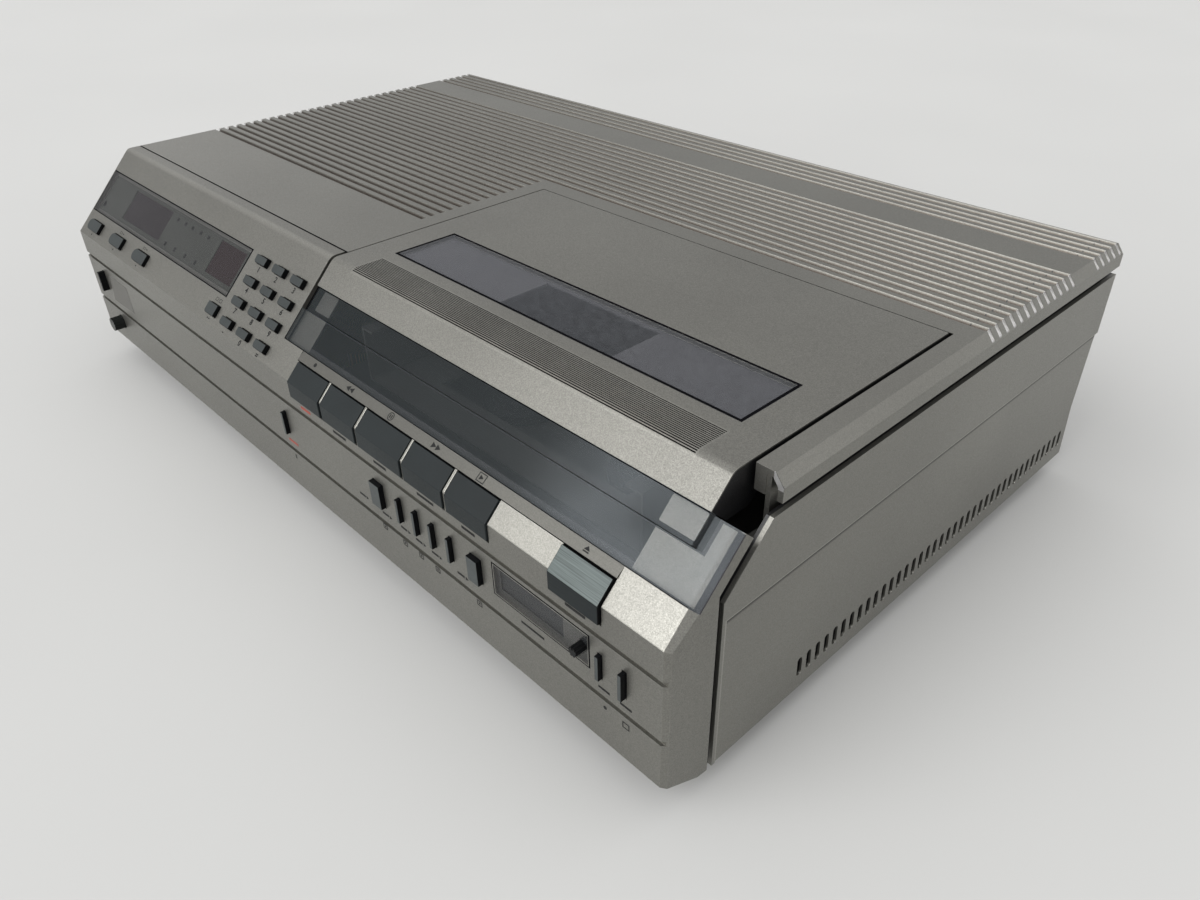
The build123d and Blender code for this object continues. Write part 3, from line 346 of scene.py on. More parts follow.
def case_detail(shader, place, colour, bare):
    """Painted highlight along the rounding over the slope: the paint there is drawn lighter."""
    painted_highlight = shader.math("MULTIPLY", place.middle_of_round, ROUND_HIGHLIGHT)
    return shader.scaled(colour, shader.math("ADD", painted_highlight, 1.0)), bare


def lid_detail(shader, place, colour, bare):
    """Painted shade on the floors and a painted highlight on the crests of the lid's fine ribs, and bare dark
    plastic in the slot beside it, as painted shade in that gap.
    """
    field = shader.math("MULTIPLY", between(shader, place.behind, RIBS_Y), between(shader, place.x, RIBS_X))
    # Painted shade on the rib floors, painted highlight on the crests
    floor = shader.math("MULTIPLY", field, rise(shader, place.depth, RIB_FLOOR_DEPTH))
    lit_crest = shader.math("MULTIPLY", field, rise(shader, place.depth, RIB_CREST_DEPTH, 1.0, 0.0))
    painted_highlight = shader.math("MULTIPLY", lit_crest, CREST_HIGHLIGHT)
    colour = shader.scaled(colour, shader.math("ADD", painted_highlight, 1.0))
    # Bare dark plastic deep in the slot wall, as painted shade in the gap
    slot_shade = shader.math("MULTIPLY", between(shader, place.x, LID_SLOT_X),
                       rise(shader, place.depth, LID_SLOT_DEPTH))
    return shader.mix(floor, colour, RIB_FLOOR_SHADE), shader.math("MAXIMUM", bare, slot_shade)


def cover_detail(shader, place, colour, bare):
    """Brown dust and painted shade in the grooves, a pale painted glint on the groove ends, bare dark plastic
    in the slot as painted shade, and a painted cut front.
    """
    front = shader.math("LESS_THAN", place.behind, CUT_FRONT_Y * MM)
    back = shader.math("SUBTRACT", 1.0, front)
    # Darker brown in the grooves: dust and painted shade
    groove = shader.math("MULTIPLY", back, rise(shader, place.depth, GROOVE_DEPTH))
    colour = shader.mix(groove, colour, GROOVE_DUST_AND_SHADE)
    # Pale painted glint where the grooves run out on the bevel
    ends = shader.math("MULTIPLY", between(shader, place.wide, GROOVE_END_X),
                       rise(shader, place.in_bevel, GROOVE_END_DEPTH))
    ends = shader.math("MULTIPLY", ends, between(shader, place.above, GROOVE_END_Z))
    colour = shader.mix(ends, colour, GROOVE_END_GLINT)
    # Bare dark plastic deep in the slot wall, as painted shade in the gap
    slot_shade = shader.math("MULTIPLY", between(shader, place.x, COVER_SLOT_X),
                       rise(shader, place.depth, COVER_SLOT_DEPTH))
    return colour, shader.math("MULTIPLY", shader.math("MAXIMUM", bare, slot_shade), back)


def side_detail(shader, place, colour, bare):
    """Painted highlight along the rim over and before the lower field of a side panel, with a painted shadow
    under it.
    """
    field = shader.math("GREATER_THAN", place.behind, SIDE_STILE_Y[0] * MM)
    # Painted highlight on the rim and the stile before it, painted shadow under the rim
    lit_rim = shader.math("MULTIPLY", field, between(shader, place.above, SIDE_RIM_Z))
    lit_stile = shader.math("MULTIPLY", between(shader, place.behind, SIDE_STILE_Y),
                        shader.math("LESS_THAN", place.above, SIDE_STILE_TOP * MM))
    lit_rim = shader.math("MINIMUM", shader.math("ADD", lit_rim, lit_stile), 1.0)
    colour = shader.mix(shader.math("MULTIPLY", lit_rim, SIDE_RIM_HIGHLIGHT), colour, EDGE_WEAR_AND_HIGHLIGHT)
    shadow = shader.math("MULTIPLY", shader.math("GREATER_THAN", place.behind, SIDE_STILE_Y[1] * MM),
                         between(shader, place.above, SIDE_SHADOW_Z))
    fade = rise(shader, place.above, SIDE_SHADOW_FADE_Z, 0.0, SIDE_SHADOW_STRENGTH)
    shadow = shader.math("MULTIPLY", shadow, fade)
    return shader.mix(shadow, colour, SIDE_SHADOW_COLOUR), bare


def satin_plastic(name, colour, rough=0.45, grain_scale=1300, depth=0.000006, variation=0.12, gloss=0.5):
    """Moulded plastic with a fine spark texture."""
    shader = Material(name, Specular_IOR_Level=gloss)
    grain = shader.noise(shader.place, grain_scale, 3.0)
    cloud = shader.noise(shader.place, 40.0, 2.0)
    dark = shaded(colour, 1 - variation)
    light = shaded(colour, 1 + variation)
    shader.set("Base Color", shader.mix(shader.ramp(cloud, 0.3, 0.7), dark, light))
    shader.set("Roughness", shader.ramp(grain, 0.2, 0.8, rough - 0.07, rough + 0.07))
    shader.set("Normal", shader.bump(grain, depth, 0.6))
    return shader.material


def lit_cap_plastic(name, top, sides, direction, rough=0.42):
    """Key plastic with a lighter cap on the faces that point one way, painted light, darker sides as painted
    shade, and a painted highlight along the cap's edges.
    """
    shader = Material(name)
    grain = shader.noise(shader.place, 1100, 3.0)
    lean = shader.vector("DOT_PRODUCT", shader.facing, direction)
    # Lighter cap facing one way as painted light, darker sides as painted shade
    lit_cap = shader.ramp(lean, 0.93, 0.97)
    worn = shader.ramp(shader.noise(shader.place, 130, 3.0), 0.3, 0.7, 0.9, 1.1)
    tint = shader.scaled(top[:3], worn)
    # Painted highlight along the cap's edges
    edge_highlight = shader.mix(shader.math("MULTIPLY", shader.edges(0.3), 0.35), tint, shaded(top, 1.9))
    shader.set("Base Color", shader.mix(lit_cap, sides, edge_highlight))
    shader.set("Specular IOR Level", shader.ramp(lit_cap, 0.0, 1.0, 0.08, 0.4))
    shader.set("Roughness", shader.ramp(grain, 0.2, 0.8, rough - 0.08, rough + 0.08))
    shader.set("Normal", shader.bump(grain, 0.00002, 0.5))
    return shader.material


def brushed_key(name):
    """Key with a finely brushed lighter face on the slope, and a dark front and sides painted as shade, the
    front less dark.
    """
    shader = Material(name)
    strokes = shader.noise(shader.place, 1.0, 4.0, (45, 2600, 2600))
    lean = shader.vector("DOT_PRODUCT", shader.facing, (0, -ROOT, ROOT))
    face = shader.ramp(lean, 0.93, 0.97)
    bright = shader.mix(shader.ramp(strokes, 0.3, 0.7), srgb(57, 64, 63), srgb(96, 105, 103))
    # Near-black sides and a less dark front, by facing: painted shade
    front = shader.ramp(shader.vector("DOT_PRODUCT", shader.facing, (0, -1, 0)), 0.9, 0.97)
    sides = shader.mix(front, srgb(10, 11, 12), srgb(32, 36, 37))
    shader.set("Base Color", shader.mix(face, sides, bright))
    shader.set("Specular IOR Level", shader.ramp(face, 0.0, 1.0, 0.08, 0.5))
    shader.set("Metallic", shader.ramp(face, 0.0, 1.0, 0.0, 0.35))
    shader.set("Roughness", shader.ramp(strokes, 0.2, 0.8, 0.3, 0.5))
    shader.set("Normal", shader.bump(strokes, 0.00002, 0.6))
    return shader.material


def smoked_glass(name, sheen, haze, painted_reflection=0.0, tint=(0.83, 0.83, 0.835, 1.0)):
    """Clear plate with a grey tint, a mirror sheen, a trace of dust, and where asked a painted reflection as
    a cloudy haze.
    """
    shader = Material(name)
    tree = shader.tree
    tree.nodes.remove(shader.surface)
    clear = shader.node("ShaderNodeBsdfTransparent")
    clear.inputs["Color"].default_value = tint
    mirror = shader.node("ShaderNodeBsdfGlossy")
    mirror.inputs["Color"].default_value = sheen
    smear = shader.noise(shader.place, 60.0, 4.0)
    shader.put(mirror.inputs["Roughness"], shader.ramp(smear, 0.3, 0.7, 0.42, 0.5))
    dust = shader.node("ShaderNodeBsdfDiffuse")
    dust.inputs["Color"].default_value = (0.45, 0.49, 0.52, 1.0)
    specks = shader.noise(shader.place, 300, 4.0)
    amount = shader.math("MULTIPLY", shader.ramp(specks, 0.4, 0.7, 0.7, 1.3), haze)
    # Painted reflection as a cloudy, lit haze towards the right end, over this stretch in metres
    if painted_reflection > 0:
        start, full = 0.165, 0.225
        cloud = shader.ramp(shader.noise(shader.place, 26.0, 2.0), 0.35, 0.65, 0.45, 1.2)
        right = shader.ramp(shader.parts()[0], start, full, 0.0, painted_reflection, smooth=True)
        amount = shader.math("ADD", amount, shader.math("MULTIPLY", cloud, right))
    # Mirror share of the outer faces only: nothing is mirrored inside the pane
    glance = shader.node("ShaderNodeLayerWeight").outputs["Facing"]
    share = shader.math("ADD", shader.math("MULTIPLY", shader.math("POWER", glance, 5.0), 0.96), 0.04)
    inside = shader.node("ShaderNodeNewGeometry").outputs["Backfacing"]
    share = shader.math("MULTIPLY", share, shader.math("SUBTRACT", 1.0, inside))
    dusty = shader.node("ShaderNodeMixShader")
    shader.put(dusty.inputs[0], amount)
    shader.put(dusty.inputs[1], clear.outputs[0])
    shader.put(dusty.inputs[2], dust.outputs[0])
    glazed = shader.node("ShaderNodeMixShader")
    shader.put(glazed.inputs[0], share)
    shader.put(glazed.inputs[1], dusty.outputs[0])
    shader.put(glazed.inputs[2], mirror.outputs[0])
    shader.put(shader.output.inputs["Surface"], glazed.outputs[0])
    return shader.material


def rolled_steel(name, colour, rough=0.35, metal=1.0):
    """Sheet steel with a faint rolled grain and cloudy plating."""
    shader = Material(name)
    grain = shader.noise(shader.place, 1.0, 4.0, (30, 900, 900))
    cloud = shader.noise(shader.place, 25.0, 3.0)
    dark = shaded(colour, 0.82)
    shader.set("Base Color", shader.mix(shader.ramp(cloud, 0.3, 0.7), dark, colour))
    shader.surface.inputs["Metallic"].default_value = metal
    shader.set("Roughness", shader.ramp(grain, 0.2, 0.8, rough - 0.08, rough + 0.1))
    shader.set("Normal", shader.bump(grain, 0.00002, 0.4))
    return shader.material


def turned_metal(name, colour, centre, rough=0.25):
    """Metal turned on a lathe, with fine rings round its centre."""
    shader = Material(name)
    x, y, z = shader.parts()
    off_x = shader.math("SUBTRACT", x, centre[0] * MM)
    off_y = shader.math("SUBTRACT", y, (FRONT + centre[1]) * MM)
    squares = shader.math("ADD", shader.math("MULTIPLY", off_x, off_x), shader.math("MULTIPLY", off_y, off_y))
    radius = shader.math("SQRT", squares)
    rings = shader.noise(shader.math("ADD", radius, shader.math("MULTIPLY", z, 0.7)), 2600, 2.0)
    dark = shaded(colour, 0.8)
    shader.set("Base Color", shader.mix(shader.ramp(rings, 0.3, 0.7), dark, colour))
    shader.surface.inputs["Metallic"].default_value = 1.0
    shader.set("Roughness", shader.ramp(rings, 0.2, 0.8, rough - 0.08, rough + 0.1))
    shader.set("Normal", shader.bump(rings, 0.00002, 0.5))
    return shader.material


def board_material(name):
    """Circuit board with solder mask and tracks."""
    shader = Material(name)
    weave = shader.noise(shader.place, 700, 2.0)
    tracks = shader.node("ShaderNodeTexBrick")
    tracks.inputs["Scale"].default_value = 170.0
    tracks.inputs["Mortar Size"].default_value = 0.03
    tracks.inputs["Color1"].default_value = srgb(66, 84, 52)
    tracks.inputs["Color2"].default_value = srgb(76, 92, 56)
    tracks.inputs["Mortar"].default_value = srgb(128, 116, 70)
    shader.put(tracks.inputs["Vector"], shader.place)
    shader.set("Base Color", tracks.outputs["Color"])
    shader.set("Roughness", shader.ramp(weave, 0.2, 0.8, 0.35, 0.55))
    shader.set("Normal", shader.bump(weave, 0.00002, 0.5))
    return shader.material


def printed_ink(name, colour):
    """Matt silk-screen ink with a slightly uneven tone."""
    shader = Material(name, Specular_IOR_Level=0.2)
    grain = shader.noise(shader.place, 2200, 2.0)
    dark = shaded(colour, 0.8)
    shader.set("Base Color", shader.mix(shader.ramp(grain, 0.3, 0.7), dark, colour))
    shader.set("Roughness", shader.ramp(grain, 0.2, 0.8, 0.5, 0.7))
    return shader.material


def rubber_material(name):
    shader = Material(name)
    grain = shader.noise(shader.place, 1500, 3.0)
    shader.set("Base Color", shader.mix(grain, srgb(28, 28, 28), srgb(48, 47, 45)))
    shader.set("Roughness", shader.ramp(grain, 0.2, 0.8, 0.7, 0.9))
    shader.set("Normal", shader.bump(grain, 0.00004, 0.8))
    return shader.material


def floor_material():
    shader = Material("floor_surface")
    cloud = shader.noise(shader.place, 3.0, 3.0)
    shader.set("Base Color", shader.mix(cloud, srgb(189, 189, 187), srgb(195, 195, 193)))
    shader.set("Roughness", shader.ramp(cloud, 0.3, 0.7, 0.6, 0.7))
    return shader.material


materials = {
    "case": metallic_paint("case_paint_look", tone=1.03, detail=case_detail),
    "cover": metallic_paint("cover_paint_look", tone=1.12, painted_depth=2.6, sparkle=0.35, wear=0.08,
                            detail=cover_detail),
    "lid": metallic_paint("lid_paint_look", tone=1.1, sparkle=0.6, detail=lid_detail),
    "side": metallic_paint("side_paint_look", tone=1.12, painted_depth=1.7, sparkle=0.3, wear=0.2,
                           detail=side_detail),
    # Lighter copy of the paint as a painted highlight on facets, dividers and the counter rim
    "lit_facet": metallic_paint("facet_highlight_look", tone=1.4, rough=0.36, sparkle=0.6, wear=0.1),
    "strip": metallic_paint("strip_paint_look", tone=0.71, sparkle=0.3, wear=0.2),
    # Lit and shaded copies of the paint behind the window ends: painted light and shade
    "lit_window_back": metallic_paint("lit_window_back_look", tone=1.55, painted_depth=8.0, rough=0.5,
                                  sparkle=0.4, wear=0.0),
    "shaded_window_back": metallic_paint("shaded_window_back_look", tone=0.75, painted_depth=8.0, rough=0.5,
                                   sparkle=0.4, wear=0.0),
    # Keys, buttons and knobs: lit faces and shaded sides are painted light and shade
    "key": lit_cap_plastic("key_look", srgb(43, 48, 48), srgb(10, 11, 12), (0, -ROOT, ROOT)),
    "piano": satin_plastic("piano_look", srgb(29, 34, 35), rough=0.5, gloss=0.2),
    "eject": brushed_key("eject_look"),
    "button": lit_cap_plastic("button_look", srgb(54, 59, 59), srgb(11, 12, 14), (0, -1, 0)),
    "dark": satin_plastic("dark_plastic_look", srgb(38, 40, 41)),
    "knob": satin_plastic("tracking_knob_look", srgb(13, 14, 15), rough=0.4, gloss=0.15),
    "power": lit_cap_plastic("power_look", srgb(19, 21, 23), srgb(14, 15, 16), (0, -1, 0)),
    "round": lit_cap_plastic("round_knob_look", srgb(54, 56, 54), srgb(30, 32, 31), (0, -1, 0)),
    "socket": satin_plastic("socket_look", srgb(26, 26, 27)),
    "glass": smoked_glass("smoked_window_look", (0.49, 0.55, 0.57, 1.0), 0.005, painted_reflection=0.08),
    "display_glass": smoked_glass("smoked_display_look", (0.47, 0.47, 0.48, 1.0), 0.004),
    "counter_glass": smoked_glass("smoked_counter_look", (0.50, 0.49, 0.48, 1.0), 0.02),
    "label_glass": smoked_glass("smoked_label_look", (0.52, 0.52, 0.56, 1.0), 0.04),
    "mask": satin_plastic("display_mask_look", srgb(73, 75, 70), rough=0.6, variation=0.06, gloss=0.1),
    "mask_line": satin_plastic("display_mark_look", srgb(30, 31, 30), rough=0.6, gloss=0.1),
    "tube": satin_plastic("display_tube_look", srgb(46, 40, 42), rough=0.5, variation=0.05, gloss=0.1),
    "lamp": satin_plastic("display_lamp_look", srgb(46, 31, 32), rough=0.5, variation=0.05, gloss=0.1),
    "lilac": satin_plastic("label_back_look", srgb(82, 81, 83), rough=0.6, variation=0.08),
    # Black trim: painted shade for the gaps round windows and seams, and the dot on the display
    "black": satin_plastic("black_trim_and_gap_shade_look", srgb(16, 16, 18), rough=0.6, gloss=0.0),
    # Dark bands beside and between the tape windows: painted shade
    "shade_band": satin_plastic("window_side_band_shade_look", srgb(38, 36, 40), rough=0.5, gloss=0.2),
    "steel": rolled_steel("plated_steel_look", srgb(150, 148, 140)),
    "tray": rolled_steel("tray_steel_look", srgb(84, 84, 82), rough=0.5, metal=0.6),
    "deck": rolled_steel("deck_steel_look", srgb(96, 95, 92), rough=0.45, metal=0.7),
    "rubber": rubber_material("rubber_look"),
    "board": board_material("board_look"),
    "iron": rolled_steel("transformer_iron_look", srgb(74, 70, 66), rough=0.5),
    "ink": printed_ink("dark_ink_look", srgb(28, 28, 28)),
    "grey_ink": printed_ink("grey_ink_look", srgb(98, 97, 93)),
    "red_ink": printed_ink("red_ink_look", srgb(158, 74, 64)),
    "drum": turned_metal("drum_metal_look", srgb(205, 205, 203), (126.8, 232.0)),
    "flywheel": turned_metal("flywheel_metal_look", srgb(190, 165, 110), (200.0, 214.0)),
}

NODE_LOOKS = {
    "front_fascia": "case", "top_cover": "cover", "lift_lid": "lid",
    "right_side_panel": "side", "left_side_panel": "side",
    "tape_window": "glass", "lid_tape_window": "glass", "lid_label_window": "label_glass",
    "display_window": "display_glass", "counter_window": "counter_glass",
    "display_board": "board", "main_board": "board", "counter_display": "dark",
    "base_tray": "tray", "rear_panel": "tray", "case_screws": "steel", "deck_plate": "deck",
    "cassette_basket": "deck", "rear_sockets": "socket", "rubber_feet": "rubber",
    "transformer": "iron", "head_drum": "drum", "drum_base": "drum", "capstan_flywheel": "flywheel",
    "supply_reel_table": "dark", "take_up_reel_table": "dark",
    "eject_key": "eject", "power_button": "power", "round_knob": "round", "tracking_knob": "knob",
}
LOOKS_BY_START = {"keypad": "key", "side_key": "key", "timer_key": "key", "piano_key": "piano",
                  "front_button": "button", "slim_button": "button", "end_button": "button",
                  "record_button": "button"}


def look_of(node):
    if node in NODE_LOOKS:
        return NODE_LOOKS[node]
    for start, look in LOOKS_BY_START.items():
        if node.startswith(start):
            return look
    raise KeyError(node)


EDGE_WIDTHS = {"key": 0.35, "piano": 0.35, "eject": 0.35, "button": 0.25, "case": 0.3, "cover": 0.3,
               "lid": 0.15, "side": 0.35, "power": 0.3, "round": 0.2, "knob": 0.2}


def round_edges(obj, width):
    """Bevel modifier with a width in millimetres."""
    bevel = obj.modifiers.new("bevel", "BEVEL")
    bevel.width = width * MM
    bevel.segments = 2
    return bevel


def soften_edges(obj, width):
    """Merge flat faces and round the sharp edges, as modifiers on top of the solid's own mesh."""
    weld = obj.modifiers.new("weld", "WELD")
    weld.merge_threshold = 0.000002
    flat = obj.modifiers.new("flat", "DECIMATE")
    flat.decimate_type = "DISSOLVE"
    flat.angle_limit = math.radians(0.5)
    bevel = round_edges(obj, width)
    bevel.limit_method = "ANGLE"
    bevel.angle_limit = math.radians(30)
    even = obj.modifiers.new("even", "WEIGHTED_NORMAL")
    even.mode = "FACE_AREA"
    even.weight = 50
    even.keep_sharp = False


for name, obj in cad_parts.items():
    look = look_of(name)
    obj.material_slots[0].material = materials[look]
    if look in EDGE_WIDTHS:
        soften_edges(obj, EDGE_WIDTHS[look])


def outline_prism(mesh, surface, outline, low, high):
    """Add a flat plate with a closed outline between two heights over a surface."""
    bottom = [mesh.verts.new(surface.at(x, u, low)) for x, u in outline]
    top = [mesh.verts.new(surface.at(x, u, high)) for x, u in outline]
    mesh.faces.new(top)
    mesh.faces.new(list(reversed(bottom)))
    count = len(outline)
    for index in range(count):
        following = (index + 1) % count
        mesh.faces.new((bottom[index], bottom[following], top[following], top[index]))


def add_piece(name, mesh, look, body="case"):
    """Turn a mesh into an object that rides on a body of the frame."""
    bmesh.ops.recalc_face_normals(mesh, faces=mesh.faces)
    data = bpy.data.meshes.new(name)
    mesh.to_mesh(data)
    mesh.free()
    data.materials.append(materials[look])
    obj = bpy.data.objects.new(name, data)
    bpy.context.scene.collection.objects.link(obj)
    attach(obj, body)
    return obj


def rectangle(x0, x1, u0, u1):
    return [(x0, u0), (x1, u0), (x1, u1), (x0, u1)]


def cut_rectangle(x0, x1, u0, u1, cut):
    """A rectangle with its four corners cut off."""
    return [(x0 + cut, u0), (x1 - cut, u0), (x1, u0 + cut), (x1, u1 - cut),
            (x1 - cut, u1), (x0 + cut, u1), (x0, u1 - cut), (x0, u0 + cut)]


def disc(x, u, radius, count=24):
    turn = 2 * math.pi / count
    return [(x + radius * math.cos(k * turn), u + radius * math.sin(k * turn)) for k in range(count)]


def ring(x, u, outer, inner, count=32):
    """A ring as closed outlines of short pieces."""
    outlines = []
    turn = 2 * math.pi / count
    for k in range(count):
        corners = []
        for radius, step in ((outer, k), (outer, k + 1), (inner, k + 1), (inner, k)):
            corners.append((x + radius * math.cos(step * turn), u + radius * math.sin(step * turn)))
        outlines.append(corners)
    return outlines


def hollow_box(x0, x1, u0, u1, line):
    """Four bars that make a box outline."""
    return [
        rectangle(x0, x0 + line, u0, u1),
        rectangle(x1 - line, x1, u0, u1),
        rectangle(x0 + line, x1 - line, u0, u0 + line),
        rectangle(x0 + line, x1 - line, u1 - line, u1),
    ]


def arrow(x, u, size, direction):
    """A solid triangle that points left or right."""
    half = size / 2
    points = [(x - direction * half, u - half), (x + direction * half, u), (x - direction * half, u + half)]
    return points if direction > 0 else list(reversed(points))


INK_LIFT = 0.012
INK_HEIGHT = 0.05
INK_BOLD = 0.12


def add_plates(name, surface, outlines, heights, look, body="case"):
    """One piece made of flat plates between two heights over a surface."""
    mesh = bmesh.new()
    for outline in outlines:
        outline_prism(mesh, surface, outline, *heights)
    return add_piece(name, mesh, look, body)


def print_marks(name, surface, outlines, look="ink", out=0.0):
    """Printed marks as very thin plates on a surface."""
    low = out + INK_LIFT
    return add_plates(name, surface, outlines, (low, low + INK_HEIGHT), look)


# Symbols above the piano keys, in the middle of each key
STRIP_S = (11.4, 16.2)
STRIP_START = PIANO_KEYS[0][0] - 1.4
STRIP_END = 237.0
STRIP_PROUD = (0.75, 0.1)
STRIP_ROOT = -0.2
STRIP_BEVEL = 0.12
SYMBOL_S = 13.9
SYMBOL_X = {"record": 29.7, "rewind": 61.1, "stop": 94.6, "wind": 128.4, "play": 159.0, "eject": 220.0}


def add_symbol_strip():
    """Narrow strip over the keys, a little flatter than the slope."""
    mesh = bmesh.new()
    corners = []
    for x in (STRIP_START, STRIP_END):
        corners.append([
            mesh.verts.new(SLOPE.at(x, STRIP_S[0], STRIP_ROOT)),
            mesh.verts.new(SLOPE.at(x, STRIP_S[0], STRIP_PROUD[0])),
            mesh.verts.new(SLOPE.at(x, STRIP_S[1], STRIP_PROUD[1])),
            mesh.verts.new(SLOPE.at(x, STRIP_S[1], STRIP_ROOT)),
        ])
    mesh.faces.new(corners[0])
    mesh.faces.new(list(reversed(corners[1])))
    for k in range(4):
        following = (k + 1) % 4
        mesh.faces.new((corners[0][k], corners[1][k], corners[1][following], corners[0][following]))
    round_edges(add_piece("symbol_strip", mesh, "strip"), STRIP_BEVEL)


strip_fall = math.atan((STRIP_PROUD[0] - STRIP_PROUD[1]) / (STRIP_S[1] - STRIP_S[0]))
strip_up = Vector((0, ROOT, ROOT)) * math.cos(strip_fall) - Vector((0, -ROOT, ROOT)) * math.sin(strip_fall)
STRIP = Surface(SLOPE.at(0, STRIP_S[0], STRIP_PROUD[0]) / MM, (1, 0, 0), strip_up)


def add_strip_symbols():
    """Plain generic symbols on the strip, one over each key."""
    u = SYMBOL_S - STRIP_S[0]
    marks = [disc(SYMBOL_X["record"], u, 1.1)]
    for offset in (-1.6, 1.4):
        marks.append(arrow(SYMBOL_X["rewind"] + offset, u, 2.8, -1))
        marks.append(arrow(SYMBOL_X["wind"] + offset, u, 2.8, 1))
    stop, play, eject = SYMBOL_X["stop"], SYMBOL_X["play"], SYMBOL_X["eject"]
    marks += ring(stop, u, 2.0, 1.6)
    for left, right in ((stop - 0.9, stop - 0.3), (stop + 0.3, stop + 0.9)):
        marks.append(rectangle(left, right, u - 0.9, u + 0.9))
    marks += hollow_box(play - 2.4, play + 2.4, u - 2.0, u + 2.0, 0.4)
    marks.append(arrow(play, u, 2.2, 1))
    marks.append([(eject - 1.5, u - 0.3), (eject + 1.5, u - 0.3), (eject, u + 1.4)])
    marks.append(rectangle(eject - 1.5, eject + 1.5, u - 1.2, u - 0.65))
    print_marks("strip_symbols", STRIP, marks)


def add_strip_shadow_line():
    """Black line between the strip and the keys, and at the strip's left end."""
    mesh = bmesh.new()
    outline_prism(mesh, SLOPE, rectangle(16.0, STRIP_END, 11.0, 11.38), -0.1, 0.2)
    outline_prism(mesh, SLOPE, rectangle(15.1, 15.45, 11.0, 16.2), -0.1, 0.15)
    add_piece("strip_line", mesh, "black")


add_symbol_strip()
add_strip_symbols()
add_strip_shadow_line()

# Middle and half length of the bars under the keys and in the upper groove
KEY_BARS = ((29.3, 4.6), (60.6, 5.6), (94.6, 5.0), (129.4, 6.0), (159.3, 4.4), (223.0, 5.4))
KEY_BAR_Z = (67.0, 68.4)
GROOVE_BARS = ((45.5, 4.0), (94.0, 6.0), (128.4, 4.4))
GROOVE_Z = 63.4
GROOVE_FLOOR = -1.5

# Middles of the bars with an arrow and of the boxes with a dot, beside the buttons
ARROW_MARKS = ((73.8, 39.9), (93.2, 38.8), (108.2, 38.9), (120.0, 38.5), (132.1, 38.4), (151.0, 38.4))
BOX_MARKS = ((89.6, 30.1), (106.1, 29.7), (118.8, 29.8), (131.4, 29.5), (161.5, 29.5))


def add_key_marks():
    """Bars under the keys, the first of them red, at the record button and in the groove."""
    keys = [rectangle(x - half, x + half, *KEY_BAR_Z) for x, half in KEY_BARS]
    groove = [rectangle(x - half, x + half, GROOVE_Z - 0.6, GROOVE_Z + 0.5) for x, half in GROOVE_BARS]
    print_marks("key_marks", FACE, keys[1:] + [rectangle(3.9, 5.1, 27.2, 29.6)])
    print_marks("red_marks", FACE, keys[:1] + [rectangle(1.2, 10.6, 37.5, 38.7)], "red_ink")
    print_marks("groove_marks", FACE, groove, "grey_ink", out=GROOVE_FLOOR)


def add_button_marks():
    """Bars, arrows, boxes and dots beside the front buttons."""
    marks = []
    for x, z in ARROW_MARKS:
        marks.append(rectangle(x - 3.6, x + 1.4, z - 0.6, z + 0.6))
        marks.append(arrow(x + 3.2, z, 1.9, 1))
    for x, z in BOX_MARKS:
        marks += hollow_box(x - 1.7, x + 1.7, z - 1.5, z + 1.5, 0.45)
        marks.append(disc(x, z, 0.55, 12))
    marks.append(disc(238.0, 28.0, 0.9, 16))
    marks += hollow_box(247.2, 250.8, 25.4, 28.6, 0.45)
    for x in (237.6, 249.0):
        marks.append(rectangle(x - 3.0, x + 3.0, 36.9, 38.0))
    marks.append(rectangle(190.0, 204.0, 38.6, 39.8))
    print_marks("button_marks", FACE, marks)


add_key_marks()
add_button_marks()


DIGIT_SIZE = 4.4


def add_digits(mesh, entries, size, surface):
    """Add plain digits, centred on places of a surface, to a mesh."""
    depsgraph = bpy.context.evaluated_depsgraph_get()
    for text, x, u in entries:
        curve = bpy.data.curves.new("digit", "FONT")
        curve.body = text
        curve.size = size * MM
        curve.align_x = "CENTER"
        curve.align_y = "CENTER"
        curve.extrude = INK_HEIGHT / 2 * MM
        curve.offset = INK_BOLD * MM
        curve.resolution_u = 3
        holder = bpy.data.objects.new("digit", curve)
        bpy.context.scene.collection.objects.link(holder)
        depsgraph.update()
        shape = bpy.data.meshes.new_from_object(holder.evaluated_get(depsgraph))
        axes = Matrix((surface.right, surface.up, surface.out)).transposed().to_4x4()
        middle = surface.at(x, u, INK_LIFT + INK_HEIGHT / 2)
        shape.transform(Matrix.Translation(middle) @ axes)
        mesh.from_mesh(shape)
        bpy.data.objects.remove(holder)
        bpy.data.curves.remove(curve)
        bpy.data.meshes.remove(shape)


def add_keypad_digits():
    """Digits and two signs under the keys of the keypad."""
    mesh = bmesh.new()
    entries = []
    for index, label in enumerate("123456789-0="):
        entries.append((label, KEY_COLUMNS[index % 3] - 1.0, KEY_ROWS[index // 3] - 5.2))
    add_digits(mesh, entries, DIGIT_SIZE, SLOPE)
    bmesh.ops.remove_doubles(mesh, verts=mesh.verts, dist=1e-7)
    add_piece("keypad_digits", mesh, "ink")


def add_timer_marks():
    """Small boxes, bars and dots beside the timer keys and the side key."""
    marks = []
    for index, x in enumerate(TIMER_KEYS):
        if index > 0:
            marks += hollow_box(x - 3.5, x - 0.5, 13.6, 15.2, 0.25)
            marks.append(rectangle(x + 0.6, x + 2.4, 14.1, 14.7))
        marks.append(disc(x - 1.0, 2.6, 0.55, 12))
    x, s = SIDE_KEY
    marks += hollow_box(x - 3.4, x - 0.6, s + 5.0, s + 7.0, 0.25)
    marks += hollow_box(x + 0.6, x + 3.4, s + 5.0, s + 7.0, 0.25)
    marks += [disc(x - 1.6, s - 5.4, 0.5, 12), disc(x + 0.2, s - 5.4, 0.5, 12)]
    print_marks("timer_marks", SLOPE, marks)


